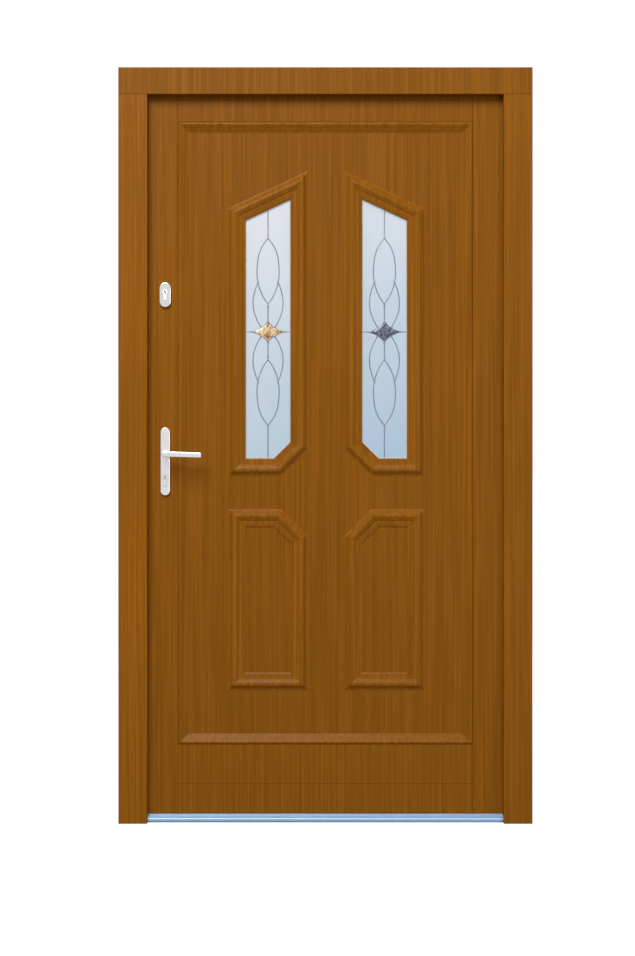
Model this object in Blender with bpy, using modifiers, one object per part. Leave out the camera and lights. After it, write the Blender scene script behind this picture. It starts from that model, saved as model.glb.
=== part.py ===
"""Entrance door set in golden-brown wood: a rebated frame, a threshold and a leaf hung in them.

Metres, +Z up. The outside looks along -Y and the leaf opens towards +Y, hung at +X.
The origin lies in the underside of the threshold, half way along it and half way through the frame.
"""

import math

import bmesh
import bpy
from mathutils import Matrix, Vector

# Gap between pieces that touch
TOUCH = 0.0003

# Frame
FRAME_WIDTH = 1.150
FRAME_HEIGHT = 2.100
JAMB_FACE = 0.080
HEAD_FACE = 0.074
REBATE = 0.018
LIP_DEPTH = 0.025
ARRIS = 0.0008
ARRIS_ANGLE = math.radians(50)

# Gaps round the leaf
SEAL_GAP = 0.004
EDGE_GAP = 0.004
FOOT_GAP = 0.004

# Threshold
BASE_HEIGHT = 0.008
NOSE_SETBACK = 0.010
NOSE_UNDERSIDE = 0.006
NOSE_FACE = 0.011
NOSE_HEEL = 0.008
UPSTAND_TOP = 0.024
UPSTAND_THICKNESS = 0.004

# Leaf
LEAF_THICKNESS = 0.068
STILE_WIDTH = 0.097
TOP_RAIL_HEIGHT = 0.085
KICK_RAIL_HEIGHT = 0.110
BOTTOM_RAIL_HEIGHT = 0.094

# Panel and the bead that holds it
PANEL_RECESS = 0.008
PANEL_THICKNESS = 0.052
PANEL_STOP = 0.012
BEAD_WIDTH = 0.029
BEAD_PROUD = 0.004

# Windows, placed from the floor, from the top of the panel and from the middle of the leaf
OPENINGS_SHIFT = 0.0025
OPENING_SPACING = 0.200
OPENING_WIDTH = 0.126
OPENING_CHAMFER = 0.046
WINDOW_SILL = 1.015
WINDOW_TOP_MARGIN = 0.214
WINDOW_TOP_FALL = 0.059

# Fields of the lower mouldings, between the foot of the panel and the windows' mouldings
FIELD_FOOT_MARGIN = 0.200
MOULDING_SPACING = 0.090

# Surround moulding, the same on windows and fields
BAND_WIDTH = 0.018
BAND_HEIGHT = 0.0045
ROLL_WIDTH = 0.033
ROLL_HEIGHT = 0.0105

# Glazing
GLASS_SETBACK = 0.004
GLASS_HOLD = 0.012
GLASS_PLAY = 0.0005
GLASS_THICKNESS = 0.028
INNER_BEAD_FLANGE = 0.030
INNER_BEAD_THICKNESS = 0.006

# Leading, measured from the middle of its star
STAR_ABOVE_MIDDLE = 0.021
STAR_HALF_WIDTH = 0.045
STAR_HALF_HEIGHT = 0.029
LOOP_TOP_MARGIN = 0.0486
LEAD_LINE = 0.0038
LEAD_ARC = 0.0036
LEAD_LOOP = 0.0034
LEAD_STAR = 0.0040
LEAD_FLATNESS = 0.70
LEAD_SINK = 0.0003
LEAD_STAGGER = 0.00002
JEWEL_SHARE = 0.80
JEWEL_EDGE = 0.0012
JEWEL_RISE = 0.0020

# Lock furniture
LOCK_BACKSET = 0.062
LEVER_HEIGHT = 1.027
LEVER_ABOVE_CYLINDER = 0.066
UPPER_CYLINDER_HEIGHT = 1.479
PLATE_WIDTH = 0.027
PLATE_HEIGHT = 0.1895
PLATE_DROP = 0.021
PLATE_THICKNESS = 0.008
ESCUTCHEON_WIDTH = 0.0325
ESCUTCHEON_HEIGHT = 0.069
ESCUTCHEON_DROP = 0.008
ESCUTCHEON_THICKNESS = 0.009
RIM_CHAMFER = 0.0025
RIM_STEPS = 2
RIM_FULLNESS = 0.6
CYLINDER_RADIUS = 0.0085
CYLINDER_STEM = 0.010
CYLINDER_DROP = 0.0245
CYLINDER_PROUD = 0.0015
CYLINDER_PLAY = 0.0005
KEY_SLOT_WIDTH = 0.0034
KEY_SLOT_HEIGHT = 0.011
KEY_SLOT_DEPTH = 0.008

# Lever handle
HUB_RADIUS = 0.0085
HUB_LENGTH = 0.040
GRIP_START = 0.009
GRIP_REACH = 0.104
GRIP_HEIGHT = 0.0165
GRIP_THICKNESS = 0.012
GRIP_ROUND = 0.004
GRIP_ROUND_STEPS = 3
GRIP_DROOP = math.radians(1.8)
SPINDLE_SIDE = 0.008
SPINDLE_PLAY = 0.0003
SOCKET_DEPTH = 0.014
SPINDLE_BORE = 0.007

# Edge plates of the lock
EDGE_PLATE_WIDTH = 0.020
EDGE_PLATE_HEIGHT = 0.240
EDGE_PLATE_THICKNESS = 0.003
EDGE_PLATE_DROP = 0.037

# Hinges, on the inside face
HINGE_FOOT_MARGIN = 0.218
HINGE_HEAD_MARGIN = 0.210
HINGE_ABOVE_MIDDLE = 0.024
KNUCKLE_RADIUS = 0.008
KNUCKLE_LIFT = 0.0005
HINGE_HEIGHT = 0.100
HINGE_PLATE_WIDTH = 0.042
HINGE_PLATE_THICKNESS = 0.003
HINGE_SLACK = 0.0006
PIN_RADIUS = 0.004
PIN_PLAY = 0.0004
PIN_SETBACK = 0.005
BORE_SETBACK = 0.020

# Sides of round shapes, and the ends of cutters
ROUND_SIDES = 24
ARC_STEPS = 10
LEAD_STEPS = 4
THROUGH = 0.010

# Frame planes, front to back
FRAME_DEPTH = LIP_DEPTH + SEAL_GAP + LEAF_THICKNESS
FRAME_FRONT = -FRAME_DEPTH / 2
FRAME_BACK = FRAME_DEPTH / 2
LIP_BACK = FRAME_FRONT + LIP_DEPTH
LEAF_FRONT = LIP_BACK + SEAL_GAP
LEAF_BACK = LEAF_FRONT + LEAF_THICKNESS
PANEL_FRONT = LEAF_FRONT + PANEL_RECESS
PANEL_BACK = PANEL_FRONT + PANEL_THICKNESS
GLASS_FRONT = PANEL_FRONT + GLASS_SETBACK
GLASS_BACK = GLASS_FRONT + GLASS_THICKNESS

# Frame edges, from the middle out and from the floor up
FRAME_EDGE = FRAME_WIDTH / 2
LIP_EDGE = FRAME_EDGE - JAMB_FACE
WALL_EDGE = LIP_EDGE + REBATE
HEAD_UNDERSIDE = FRAME_HEIGHT - HEAD_FACE
SOFFIT = HEAD_UNDERSIDE + REBATE

# Leaf edges
LEAF_EDGE = WALL_EDGE - EDGE_GAP
STILE_INSIDE = LEAF_EDGE - STILE_WIDTH
LEAF_BOTTOM = BASE_HEIGHT + FOOT_GAP
LEAF_TOP = SOFFIT - EDGE_GAP
BOTTOM_RAIL_TOP = LEAF_BOTTOM + BOTTOM_RAIL_HEIGHT
PANEL_SILL = BOTTOM_RAIL_TOP + KICK_RAIL_HEIGHT
PANEL_TOP = LEAF_TOP - TOP_RAIL_HEIGHT

# Openings and what surrounds them
OPENING_INNER = OPENING_SPACING / 2
OPENING_OUTER = OPENING_INNER + OPENING_WIDTH
OPENING_CENTRE = (OPENING_INNER + OPENING_OUTER) / 2
SURROUND_WIDTH = BAND_WIDTH + ROLL_WIDTH
WINDOW_INNER_TOP = PANEL_TOP - WINDOW_TOP_MARGIN
WINDOW_OUTER_TOP = WINDOW_INNER_TOP - WINDOW_TOP_FALL
FIELD_SILL = PANEL_SILL + FIELD_FOOT_MARGIN
FIELD_TOP = WINDOW_SILL - MOULDING_SPACING - 2 * SURROUND_WIDTH
STAR_HEIGHT = (WINDOW_SILL + WINDOW_OUTER_TOP) / 2 + STAR_ABOVE_MIDDLE
LOOP_REACH = WINDOW_OUTER_TOP - LOOP_TOP_MARGIN - STAR_HEIGHT

# Lock and hinge axes
LOCK_X = -(LEAF_EDGE - LOCK_BACKSET)
CYLINDER_HEIGHT = LEVER_HEIGHT - LEVER_ABOVE_CYLINDER
PLATE_MIDDLE = LEVER_HEIGHT - PLATE_DROP
EDGE_PLATE_MIDDLE = LEVER_HEIGHT - EDGE_PLATE_DROP
ESCUTCHEON_MIDDLE = UPPER_CYLINDER_HEIGHT - ESCUTCHEON_DROP
HINGE_X = (LEAF_EDGE + WALL_EDGE) / 2
HINGE_Y = FRAME_BACK + KNUCKLE_LIFT + KNUCKLE_RADIUS
HINGE_HEIGHTS = (
    LEAF_BOTTOM + HINGE_FOOT_MARGIN,
    (LEAF_BOTTOM + LEAF_TOP) / 2 + HINGE_ABOVE_MIDDLE,
    LEAF_TOP - HINGE_HEAD_MARGIN,
)

SIDES = {"left": -1, "right": 1}
WINDOW_EDGES = ("inner", "corner", "sill", "outer", "top")
FIELD_EDGES = ("inner", "corner", "top", "outer", "sill")


def clear_scene():
    for obj in list(bpy.data.objects):
        bpy.data.objects.remove(obj, do_unlink=True)


def collection(name):
    made = bpy.data.collections.new(name)
    bpy.context.scene.collection.children.link(made)
    return made


def principled(name, colour, roughness, metallic=0.0):
    material = bpy.data.materials.new(name)
    material.use_nodes = True
    material.diffuse_color = (*colour, 1.0)
    shader = material.node_tree.nodes["Principled BSDF"]
    shader.inputs["Base Color"].default_value = (*colour, 1.0)
    shader.inputs["Roughness"].default_value = roughness
    shader.inputs["Metallic"].default_value = metallic
    return material


clear_scene()
DOOR = collection("wooden_door")
CUTTERS = collection("cutters")

OAK = principled("golden_oak", (0.26, 0.095, 0.012), 0.42)
ALUMINIUM = principled("threshold_aluminium", (0.55, 0.63, 0.74), 0.35, 1.0)
SATIN_SILVER = principled("satin_silver", (0.82, 0.81, 0.80), 0.30, 1.0)
STEEL = principled("hinge_steel", (0.56, 0.56, 0.56), 0.35, 1.0)
GLASS = principled("pale_glass", (0.62, 0.74, 0.84), 0.12)
LEAD = principled("lead", (0.22, 0.25, 0.30), 0.45, 1.0)
AMBER = principled("amber_jewel", (0.72, 0.42, 0.10), 0.15)
SMOKE = principled("smoke_jewel", (0.19, 0.20, 0.26), 0.15)


def put(bm, name, material=None):
    """Writes the mesh as a piece of the door, or as a cutter when it has no material."""
    bmesh.ops.recalc_face_normals(bm, faces=bm.faces)
    mesh = bpy.data.meshes.new(name)
    bm.to_mesh(mesh)
    bm.free()
    obj = bpy.data.objects.new(name, mesh)
    if material is None:
        CUTTERS.objects.link(obj)
        obj.hide_render = True
        obj.display_type = "WIRE"
    else:
        DOOR.objects.link(obj)
        mesh.materials.append(material)
    return obj


def combine(piece, tool, operation):
    modifier = piece.modifiers.new(tool.name, "BOOLEAN")
    modifier.operation = operation
    modifier.object = tool
    modifier.solver = "EXACT"


def box_mesh(low, high):
    bm = bmesh.new()
    middle = (Vector(low) + Vector(high)) / 2
    size = Vector(high) - Vector(low)
    bmesh.ops.create_cube(bm, size=1.0, matrix=Matrix.LocRotScale(middle, None, size))
    return bm


def box(name, low, high, material=None):
    return put(box_mesh(low, high), name, material)


def soften(piece, width=ARRIS, segments=1):
    modifier = piece.modifiers.new("arris", "BEVEL")
    modifier.width = width
    modifier.segments = segments
    modifier.limit_method = "ANGLE"
    modifier.angle_limit = ARRIS_ANGLE


def axes(origin, first, second, third):
    """The matrix that lays an outline on the first two axes and runs it along the third."""
    turned = Matrix((first, second, third)).transposed()
    return Matrix.Translation(origin) @ turned.to_4x4()


def facing(depth):
    """Outlines are (x, z), and run inwards from this depth."""
    return axes((0, depth, 0), (1, 0, 0), (0, 0, 1), (0, 1, 0))


def lying(start):
    """Outlines are (y, z), and run along X from this place."""
    return axes((start, 0, 0), (0, 1, 0), (0, 0, 1), (1, 0, 0))


def prism_mesh(outline, place, length):
    bm = bmesh.new()
    face = bm.faces.new([bm.verts.new(place @ Vector((u, v, 0))) for u, v in outline])
    grown = bmesh.ops.extrude_face_region(bm, geom=[face])["geom"]
    ends = [item for item in grown if isinstance(item, bmesh.types.BMVert)]
    bmesh.ops.translate(bm, verts=ends, vec=place.to_3x3() @ Vector((0, 0, length)))
    return bm


def prism(name, outline, place, length, material=None):
    return put(prism_mesh(outline, place, length), name, material)


def cylinder_mesh(radius, start, end, along=(0, 0, 1), sides=ROUND_SIDES, roll=0.0):
    """A round bar whose axis runs from start to end along one axis, rolled on it by an angle."""
    start, end = Vector(start), Vector(end)
    turn = Vector((0, 0, 1)).rotation_difference(Vector(along)).to_matrix().to_4x4()
    turn = turn @ Matrix.Rotation(roll, 4, "Z")
    bm = bmesh.new()
    bmesh.ops.create_cone(
        bm,
        cap_ends=True,
        segments=sides,
        radius1=radius,
        radius2=radius,
        depth=(end - start).length,
        matrix=Matrix.Translation((start + end) / 2) @ turn,
    )
    return bm


def arc(centre, radius, start, end, steps=ARC_STEPS):
    """Points round an arc, with angles in degrees."""
    angles = [math.radians(start + (end - start) * k / steps) for k in range(steps + 1)]
    return [(centre[0] + radius * math.cos(a), centre[1] + radius * math.sin(a)) for a in angles]


def stadium(centre, width, height):
    radius = width / 2
    rise = height / 2 - radius
    upper = arc((centre[0], centre[1] + rise), radius, 0, 180)
    lower = arc((centre[0], centre[1] - rise), radius, 180, 360)
    return upper + lower


def lock_profile(centre_height, play=0.0):
    """The round head and narrow stem of a profile cylinder."""
    radius = CYLINDER_RADIUS + play
    half = CYLINDER_STEM / 2 + play
    meet = math.degrees(math.asin(half / radius))
    head = arc((LOCK_X, centre_height), radius, -90 + meet, 270 - meet, 2 * ARC_STEPS)
    foot = centre_height - CYLINDER_DROP - play
    return head + [(LOCK_X - half, foot), (LOCK_X + half, foot)]


# Mouldings


def outward(start, end, centre):
    """The normal of an edge of a convex outline, on the side away from its centre."""
    run = (end - start).normalized()
    normal = Vector((run.y, -run.x))
    return normal if normal.dot(start - centre) > 0 else -normal


def corner_vectors(corners):
    corners = [Vector(c) for c in corners]
    centre = sum(corners, Vector((0, 0))) / len(corners)
    normals = [outward(a, b, centre) for a, b in zip(corners, corners[1:] + corners[:1])]
    return corners, normals


def grown(corners, distance):
    """The outline with every edge moved outwards by the distance."""
    corners, normals = corner_vectors(corners)
    moved = []
    for i, corner in enumerate(corners):
        pair = normals[i - 1] + normals[i]
        moved.append(corner + pair * distance / (1 + normals[i - 1].dot(normals[i])))
    return [tuple(p) for p in moved]


def mitred_strip(name, corners, i, profile, level, material):
    """One length of moulding: the profile is (distance outwards, height above the level)."""
    corners, normals = corner_vectors(corners)
    ahead = (i + 1) % len(corners)
    start, end = corners[i], corners[ahead]
    run = (end - start).normalized()
    spare = 2 * max(distance for distance, _ in profile)
    normal = Vector((normals[i].x, 0, normals[i].y))
    along = Vector((run.x, 0, run.y))
    origin = Vector((start.x, level, start.y)) - along * spare
    place = axes(origin, normal, (0, -1, 0), along)
    bm = prism_mesh(profile, place, (end - start).length + 2 * spare)
    for corner, before, away in ((start, i - 1, -1), (end, ahead, 1)):
        mitre = normals[i] + normals[before]
        square = Vector((mitre.y, 0, -mitre.x)).normalized()
        square *= away if square.dot(along) > 0 else -away
        point = Vector((corner.x, level, corner.y)) - square * TOUCH / 2
        cut = bmesh.ops.bisect_plane(
            bm,
            geom=bm.verts[:] + bm.edges[:] + bm.faces[:],
            plane_co=point,
            plane_no=square,
            clear_outer=True,
        )
        edges = [item for item in cut["geom_cut"] if isinstance(item, bmesh.types.BMEdge)]
        bmesh.ops.edgeloop_fill(bm, edges=edges)
    return put(bm, name, material)


def bead_profile():
    """From the panel outwards: a slope with two fine steps and a rounded outer edge."""
    top = PANEL_RECESS + BEAD_PROUD
    outer = BEAD_WIDTH - TOUCH
    return [
        (0, TOUCH),
        (0, 0.06 * top),
        (0.22 * BEAD_WIDTH, 0.29 * top),
        (0.25 * BEAD_WIDTH, 0.37 * top),
        (0.50 * BEAD_WIDTH, 0.66 * top),
        (0.53 * BEAD_WIDTH, 0.74 * top),
        (0.71 * BEAD_WIDTH, 0.96 * top),
        (0.79 * BEAD_WIDTH, top),
        (0.90 * BEAD_WIDTH, 0.93 * top),
        (outer, 0.72 * top),
        (outer, TOUCH),
    ]


def surround_profile(leg):
    """From the opening outwards: a sloped sight edge, a flat band, a roll on a fillet, and a cove.

    The leg is how far the sight edge reaches behind the panel face, down to the glass."""
    roll = ROLL_WIDTH
    rise = ROLL_HEIGHT - BAND_HEIGHT
    profile = [
        (0, 0.40 * BAND_HEIGHT),
        (0.33 * BAND_WIDTH, 0.95 * BAND_HEIGHT),
        (0.41 * BAND_WIDTH, 0.80 * BAND_HEIGHT),
        (0.49 * BAND_WIDTH, BAND_HEIGHT),
        (BAND_WIDTH, BAND_HEIGHT),
        (BAND_WIDTH + 0.05 * roll, BAND_HEIGHT + 0.32 * rise),
        (BAND_WIDTH + 0.24 * roll, BAND_HEIGHT + 0.62 * rise),
        (BAND_WIDTH + 0.34 * roll, BAND_HEIGHT + 0.93 * rise),
        (BAND_WIDTH + 0.45 * roll, ROLL_HEIGHT),
        (BAND_WIDTH + 0.60 * roll, 0.92 * ROLL_HEIGHT),
        (BAND_WIDTH + 0.64 * roll, 0.78 * ROLL_HEIGHT),
        (BAND_WIDTH + 0.73 * roll, 0.52 * ROLL_HEIGHT),
        (BAND_WIDTH + 0.82 * roll, 0.31 * ROLL_HEIGHT),
        (BAND_WIDTH + 0.91 * roll, 0.17 * ROLL_HEIGHT),
        (SURROUND_WIDTH, 0.09 * ROLL_HEIGHT),
        (SURROUND_WIDTH, TOUCH),
    ]
    if leg:
        heel = GLASS_HOLD - GLASS_PLAY
        profile += [(heel, TOUCH), (heel, TOUCH - leg), (0, TOUCH - leg)]
    else:
        profile.append((0, TOUCH))
    return profile


def window_outline(side):
    inner = OPENINGS_SHIFT + side * OPENING_INNER
    outer = OPENINGS_SHIFT + side * OPENING_OUTER
    return [
        (inner, WINDOW_INNER_TOP),
        (inner, WINDOW_SILL + OPENING_CHAMFER),
        (inner + side * OPENING_CHAMFER, WINDOW_SILL),
        (outer, WINDOW_SILL),
        (outer, WINDOW_OUTER_TOP),
    ]


def field_outline(side):
    inner = OPENINGS_SHIFT + side * OPENING_INNER
    outer = OPENINGS_SHIFT + side * OPENING_OUTER
    return [
        (inner, FIELD_SILL),
        (inner, FIELD_TOP - OPENING_CHAMFER),
        (inner + side * OPENING_CHAMFER, FIELD_TOP),
        (outer, FIELD_TOP),
        (outer, FIELD_SILL),
    ]


# Frame


def make_jamb(name, side):
    """The outer edges are softened before the rebate is cut, so its corner stays square."""
    near, far = side * LIP_EDGE, side * FRAME_EDGE
    jamb = box(
        name,
        (min(near, far), FRAME_FRONT, 0),
        (max(near, far), FRAME_BACK, HEAD_UNDERSIDE - TOUCH),
        OAK,
    )
    soften(jamb)
    near, far = side * (LIP_EDGE - THROUGH), side * WALL_EDGE
    rebate = box(
        f"{name}_rebate",
        (min(near, far), LIP_BACK, -THROUGH),
        (max(near, far), FRAME_BACK + THROUGH, HEAD_UNDERSIDE + THROUGH),
    )
    combine(jamb, rebate, "DIFFERENCE")
    return jamb


def make_head():
    head = box(
        "frame_head",
        (-FRAME_EDGE, FRAME_FRONT, HEAD_UNDERSIDE),
        (FRAME_EDGE, FRAME_BACK, FRAME_HEIGHT),
        OAK,
    )
    soften(head)
    rebate = box(
        "head_rebate",
        (-WALL_EDGE, LIP_BACK, HEAD_UNDERSIDE - THROUGH),
        (WALL_EDGE, FRAME_BACK + THROUGH, SOFFIT),
    )
    combine(head, rebate, "DIFFERENCE")


def make_threshold():
    nose = FRAME_FRONT + NOSE_SETBACK
    outline = [
        (nose, NOSE_UNDERSIDE),
        (nose, NOSE_UNDERSIDE + NOSE_FACE),
        (LIP_BACK - UPSTAND_THICKNESS, UPSTAND_TOP),
        (LIP_BACK, UPSTAND_TOP),
        (LIP_BACK, BASE_HEIGHT),
        (FRAME_BACK, BASE_HEIGHT),
        (FRAME_BACK, 0),
        (nose + NOSE_HEEL, 0),
        (nose + NOSE_HEEL, NOSE_UNDERSIDE),
    ]
    half = WALL_EDGE - TOUCH
    threshold = prism("threshold", outline, lying(-half), 2 * half, ALUMINIUM)
    for name, side in SIDES.items():
        near, far = side * (LIP_EDGE - TOUCH), side * (WALL_EDGE + THROUGH)
        notch = box(
            f"threshold_notch_{name}",
            (min(near, far), FRAME_FRONT - THROUGH, -THROUGH),
            (max(near, far), LIP_BACK + TOUCH, UPSTAND_TOP + THROUGH),
        )
        combine(threshold, notch, "DIFFERENCE")


# Leaf


def make_stile(name, side):
    near, far = side * STILE_INSIDE, side * LEAF_EDGE
    stile = box(
        name,
        (min(near, far), LEAF_FRONT, LEAF_BOTTOM),
        (max(near, far), LEAF_BACK, LEAF_TOP),
        OAK,
    )
    soften(stile)
    near, far = side * (STILE_INSIDE - PANEL_STOP), side * (STILE_INSIDE + PANEL_STOP)
    stop = box(
        f"{name}_stop",
        (min(near, far), PANEL_BACK + TOUCH, PANEL_SILL + PANEL_STOP + TOUCH),
        (max(near, far), LEAF_BACK - ARRIS - TOUCH, PANEL_TOP - PANEL_STOP - TOUCH),
    )
    combine(stile, stop, "UNION")
    return stile


def make_rail(name, bottom, top, stop_side=0):
    """A rail between the stiles, with a stop above or below it for the panel."""
    half = STILE_INSIDE - TOUCH
    rail = box(name, (-half, LEAF_FRONT, bottom), (half, LEAF_BACK, top), OAK)
    soften(rail)
    if stop_side:
        edge = top if stop_side > 0 else bottom
        stop = box(
            f"{name}_stop",
            (-half + ARRIS + TOUCH, PANEL_BACK + TOUCH, edge - PANEL_STOP),
            (half - ARRIS - TOUCH, LEAF_BACK - ARRIS - TOUCH, edge + PANEL_STOP),
        )
        combine(rail, stop, "UNION")


def make_panel():
    half = STILE_INSIDE - TOUCH
    low = (-half, PANEL_FRONT, PANEL_SILL + TOUCH)
    panel = box("door_panel", low, (half, PANEL_BACK, PANEL_TOP - TOUCH), OAK)
    for name, side in SIDES.items():
        outline = grown(window_outline(side), GLASS_HOLD)
        length = PANEL_THICKNESS + 2 * THROUGH
        cutter = prism(f"window_cutout_{name}", outline, facing(PANEL_FRONT - THROUGH), length)
        combine(panel, cutter, "DIFFERENCE")


def make_bead():
    inset = BEAD_WIDTH
    left, right = -STILE_INSIDE + inset, STILE_INSIDE - inset
    sill, top = PANEL_SILL + inset, PANEL_TOP - inset
    corners = [(left, sill), (right, sill), (right, top), (left, top)]
    for i, edge in enumerate(("bottom", "right", "top", "left")):
        mitred_strip(f"panel_bead_{edge}", corners, i, bead_profile(), PANEL_FRONT, OAK)


def make_surrounds(side_name, side):
    for kind, corners, edges, leg in (
        ("window", window_outline(side), WINDOW_EDGES, GLASS_SETBACK),
        ("lower", field_outline(side), FIELD_EDGES, 0),
    ):
        for i, edge in enumerate(edges):
            name = f"{kind}_moulding_{side_name}_{edge}"
            mitred_strip(name, corners, i, surround_profile(leg), PANEL_FRONT, OAK)


def make_glass(side_name, side):
    hold = GLASS_HOLD - GLASS_PLAY
    outline = grown(window_outline(side), hold)
    prism(f"glass_pane_{side_name}", outline, facing(GLASS_FRONT), GLASS_THICKNESS, GLASS)


def make_inner_bead(side_name, side):
    """The plain ring that holds the glass from the inside."""
    sight = window_outline(side)
    flange = prism(
        f"inner_bead_{side_name}",
        grown(sight, INNER_BEAD_FLANGE),
        facing(PANEL_BACK + TOUCH),
        INNER_BEAD_THICKNESS,
        OAK,
    )
    start = GLASS_BACK + TOUCH
    leg_length = PANEL_BACK + TOUCH + INNER_BEAD_THICKNESS / 2 - start
    leg = prism(
        f"inner_leg_{side_name}",
        grown(sight, GLASS_HOLD - GLASS_PLAY),
        facing(start),
        leg_length,
    )
    light = prism(
        f"inner_light_{side_name}", sight, facing(start - THROUGH), leg_length + 2 * THROUGH
    )
    combine(flange, leg, "UNION")
    combine(flange, light, "DIFFERENCE")


# Leading and jewels


def star_quarter():
    """One concave side of the star, from its top to its right-hand tip."""
    waist = (0.38 * STAR_HALF_WIDTH, 0.43 * STAR_HALF_HEIGHT)
    return [(0, STAR_HALF_HEIGHT), waist, (STAR_HALF_WIDTH, 0)]


def lead_strands():
    """Each strand as its width and its points right of and above the star's middle."""
    height, width, reach = STAR_HALF_HEIGHT, STAR_HALF_WIDTH, LOOP_REACH
    loop = [
        (-0.001, reach),
        (0.46 * width, 0.874 * reach),
        (0.67 * width, 0.703 * reach),
        (0.62 * width, 0.522 * reach),
        (0.31 * width, 0.374 * reach),
        (-0.001, 0.291 * reach),
    ]
    side_arc = [
        (0.60 * width, 0.544 * reach),
        (0.86 * width, 0.407 * reach),
        (0.93 * width, 0.280 * reach),
        (0.77 * width, 0.159 * reach),
        (0.44 * width, 0.46 * height),
    ]
    middle = star_quarter()[1]
    star_side = [(-0.05 * width, 1.06 * height), middle, (1.05 * width, -0.05 * height)]
    strands = []
    for across in (-1, 1):
        for up in (-1, 1):
            for breadth, points in (
                (LEAD_LOOP, loop),
                (LEAD_ARC, side_arc),
                (LEAD_STAR, star_side),
            ):
                strands.append((breadth, [(across * x, up * z) for x, z in points]))
    tall = WINDOW_INNER_TOP - WINDOW_SILL
    for up in (-1, 1):
        strands.append((LEAD_LINE, [(0, up * 0.97 * height), (0, up * 0.302 * reach)]))
        strands.append((LEAD_LINE, [(0, up * 0.983 * reach), (0, up * tall)]))
        strands.append((LEAD_LINE, [(up * 0.93 * width, 0), (up * OPENING_WIDTH, 0)]))
    return strands


def strand_mesh(name, centre_x, breadth, points):
    """A flattened bar along a smooth curve, lying in the face of the glass."""
    data = bpy.data.curves.new(name, "CURVE")
    data.dimensions = "3D"
    data.resolution_u = LEAD_STEPS
    data.bevel_depth = breadth / 2
    data.bevel_resolution = 0
    data.use_fill_caps = True
    spline = data.splines.new("BEZIER")
    spline.bezier_points.add(len(points) - 1)
    for knot, (x, z) in zip(spline.bezier_points, points):
        knot.co = (centre_x + x, 0, STAR_HEIGHT + z)
        knot.handle_left_type = knot.handle_right_type = "AUTO"
    curve = bpy.data.objects.new(name, data)
    CUTTERS.objects.link(curve)
    bpy.context.view_layer.update()
    graph = bpy.context.evaluated_depsgraph_get()
    mesh = bpy.data.meshes.new_from_object(curve.evaluated_get(graph))
    bm = bmesh.new()
    bm.from_mesh(mesh)
    bmesh.ops.remove_doubles(bm, verts=bm.verts, dist=0.00001)
    flatten = Matrix.Diagonal((1, LEAD_FLATNESS, 1, 1))
    sunk = Matrix.Translation((0, GLASS_FRONT - TOUCH + LEAD_SINK, 0))
    bmesh.ops.transform(bm, matrix=sunk @ flatten, verts=bm.verts)
    bpy.data.objects.remove(curve)
    bpy.data.meshes.remove(mesh)
    return bm


def make_leading(side_name, side):
    """All strands soldered into one net, cut flat at the back and trimmed to the sight edge."""
    name = f"lead_came_{side_name}"
    centre = OPENINGS_SHIFT + side * OPENING_CENTRE
    strands = collection(f"{name}_strands")
    strands.hide_render = True
    came = None
    for k, (breadth, points) in enumerate(lead_strands()):
        bm = strand_mesh(f"{name}_strand_{k}", centre, breadth, points)
        bmesh.ops.translate(bm, verts=bm.verts, vec=(0, k * LEAD_STAGGER, 0))
        if came is None:
            came = put(bm, name, LEAD)
            continue
        strand = put(bm, f"{name}_strand_{k}")
        CUTTERS.objects.unlink(strand)
        strands.objects.link(strand)
    modifier = came.modifiers.new("solder", "BOOLEAN")
    modifier.operation = "UNION"
    modifier.operand_type = "COLLECTION"
    modifier.collection = strands
    modifier.solver = "EXACT"
    outline = grown(window_outline(side), -GLASS_PLAY)
    start = GLASS_FRONT - TOUCH - THROUGH
    cell = prism(f"{name}_cell", outline, facing(start), THROUGH)
    combine(came, cell, "INTERSECT")


def make_jewel(side_name, side, material):
    """A star of cut glass that fills the middle of the leading."""
    (top_x, top_z), (mid_x, mid_z), (tip_x, tip_z) = star_quarter()
    quarter = []
    for k in range(LEAD_STEPS):
        t = k / LEAD_STEPS
        weights = ((1 - t) ** 2, 2 * t * (1 - t), t**2)
        pull_x = 2 * mid_x - (top_x + tip_x) / 2
        pull_z = 2 * mid_z - (top_z + tip_z) / 2
        x = weights[0] * top_x + weights[1] * pull_x + weights[2] * tip_x
        z = weights[0] * top_z + weights[1] * pull_z + weights[2] * tip_z
        quarter.append((JEWEL_SHARE * x, JEWEL_SHARE * z))
    right_top = quarter
    right_bottom = [(x, -z) for x, z in reversed(quarter[1:])]
    tip = [(JEWEL_SHARE * tip_x, 0)]
    bottom = [(0, -JEWEL_SHARE * top_z)]
    left_bottom = [(-x, z) for x, z in reversed(right_bottom)]
    left_top = [(-x, z) for x, z in reversed(right_top[1:])]
    half = right_top + tip + right_bottom + bottom
    loop = half + left_bottom + [(-tip[0][0], 0)] + left_top
    centre = OPENINGS_SHIFT + side * OPENING_CENTRE
    outline = [(centre + x, STAR_HEIGHT + z) for x, z in loop]
    face = GLASS_FRONT - TOUCH
    bm = prism_mesh(outline, facing(face - JEWEL_EDGE), JEWEL_EDGE)
    bm.normal_update()
    front = min(bm.faces, key=lambda f: f.calc_center_median().y)
    star = bmesh.ops.poke(bm, faces=[front])["verts"]
    for vert in star:
        vert.co = (centre, face - JEWEL_EDGE - JEWEL_RISE, STAR_HEIGHT)
    return put(bm, f"jewel_{side_name}", material)


# Lock furniture


def rimmed_plate(name, outline, back, out, thickness):
    """A flat plate whose outer rim is chamfered. It stands out from its back plane along Y."""
    bm = prism_mesh(outline, facing(back), out * thickness)
    front = back + out * thickness
    rim = [e for e in bm.edges if all(abs(v.co.y - front) < TOUCH / 10 for v in e.verts)]
    bmesh.ops.bevel(
        bm, geom=rim, offset=RIM_CHAMFER, segments=RIM_STEPS, affect="EDGES", profile=RIM_FULLNESS
    )
    return put(bm, name, SATIN_SILVER)


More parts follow.
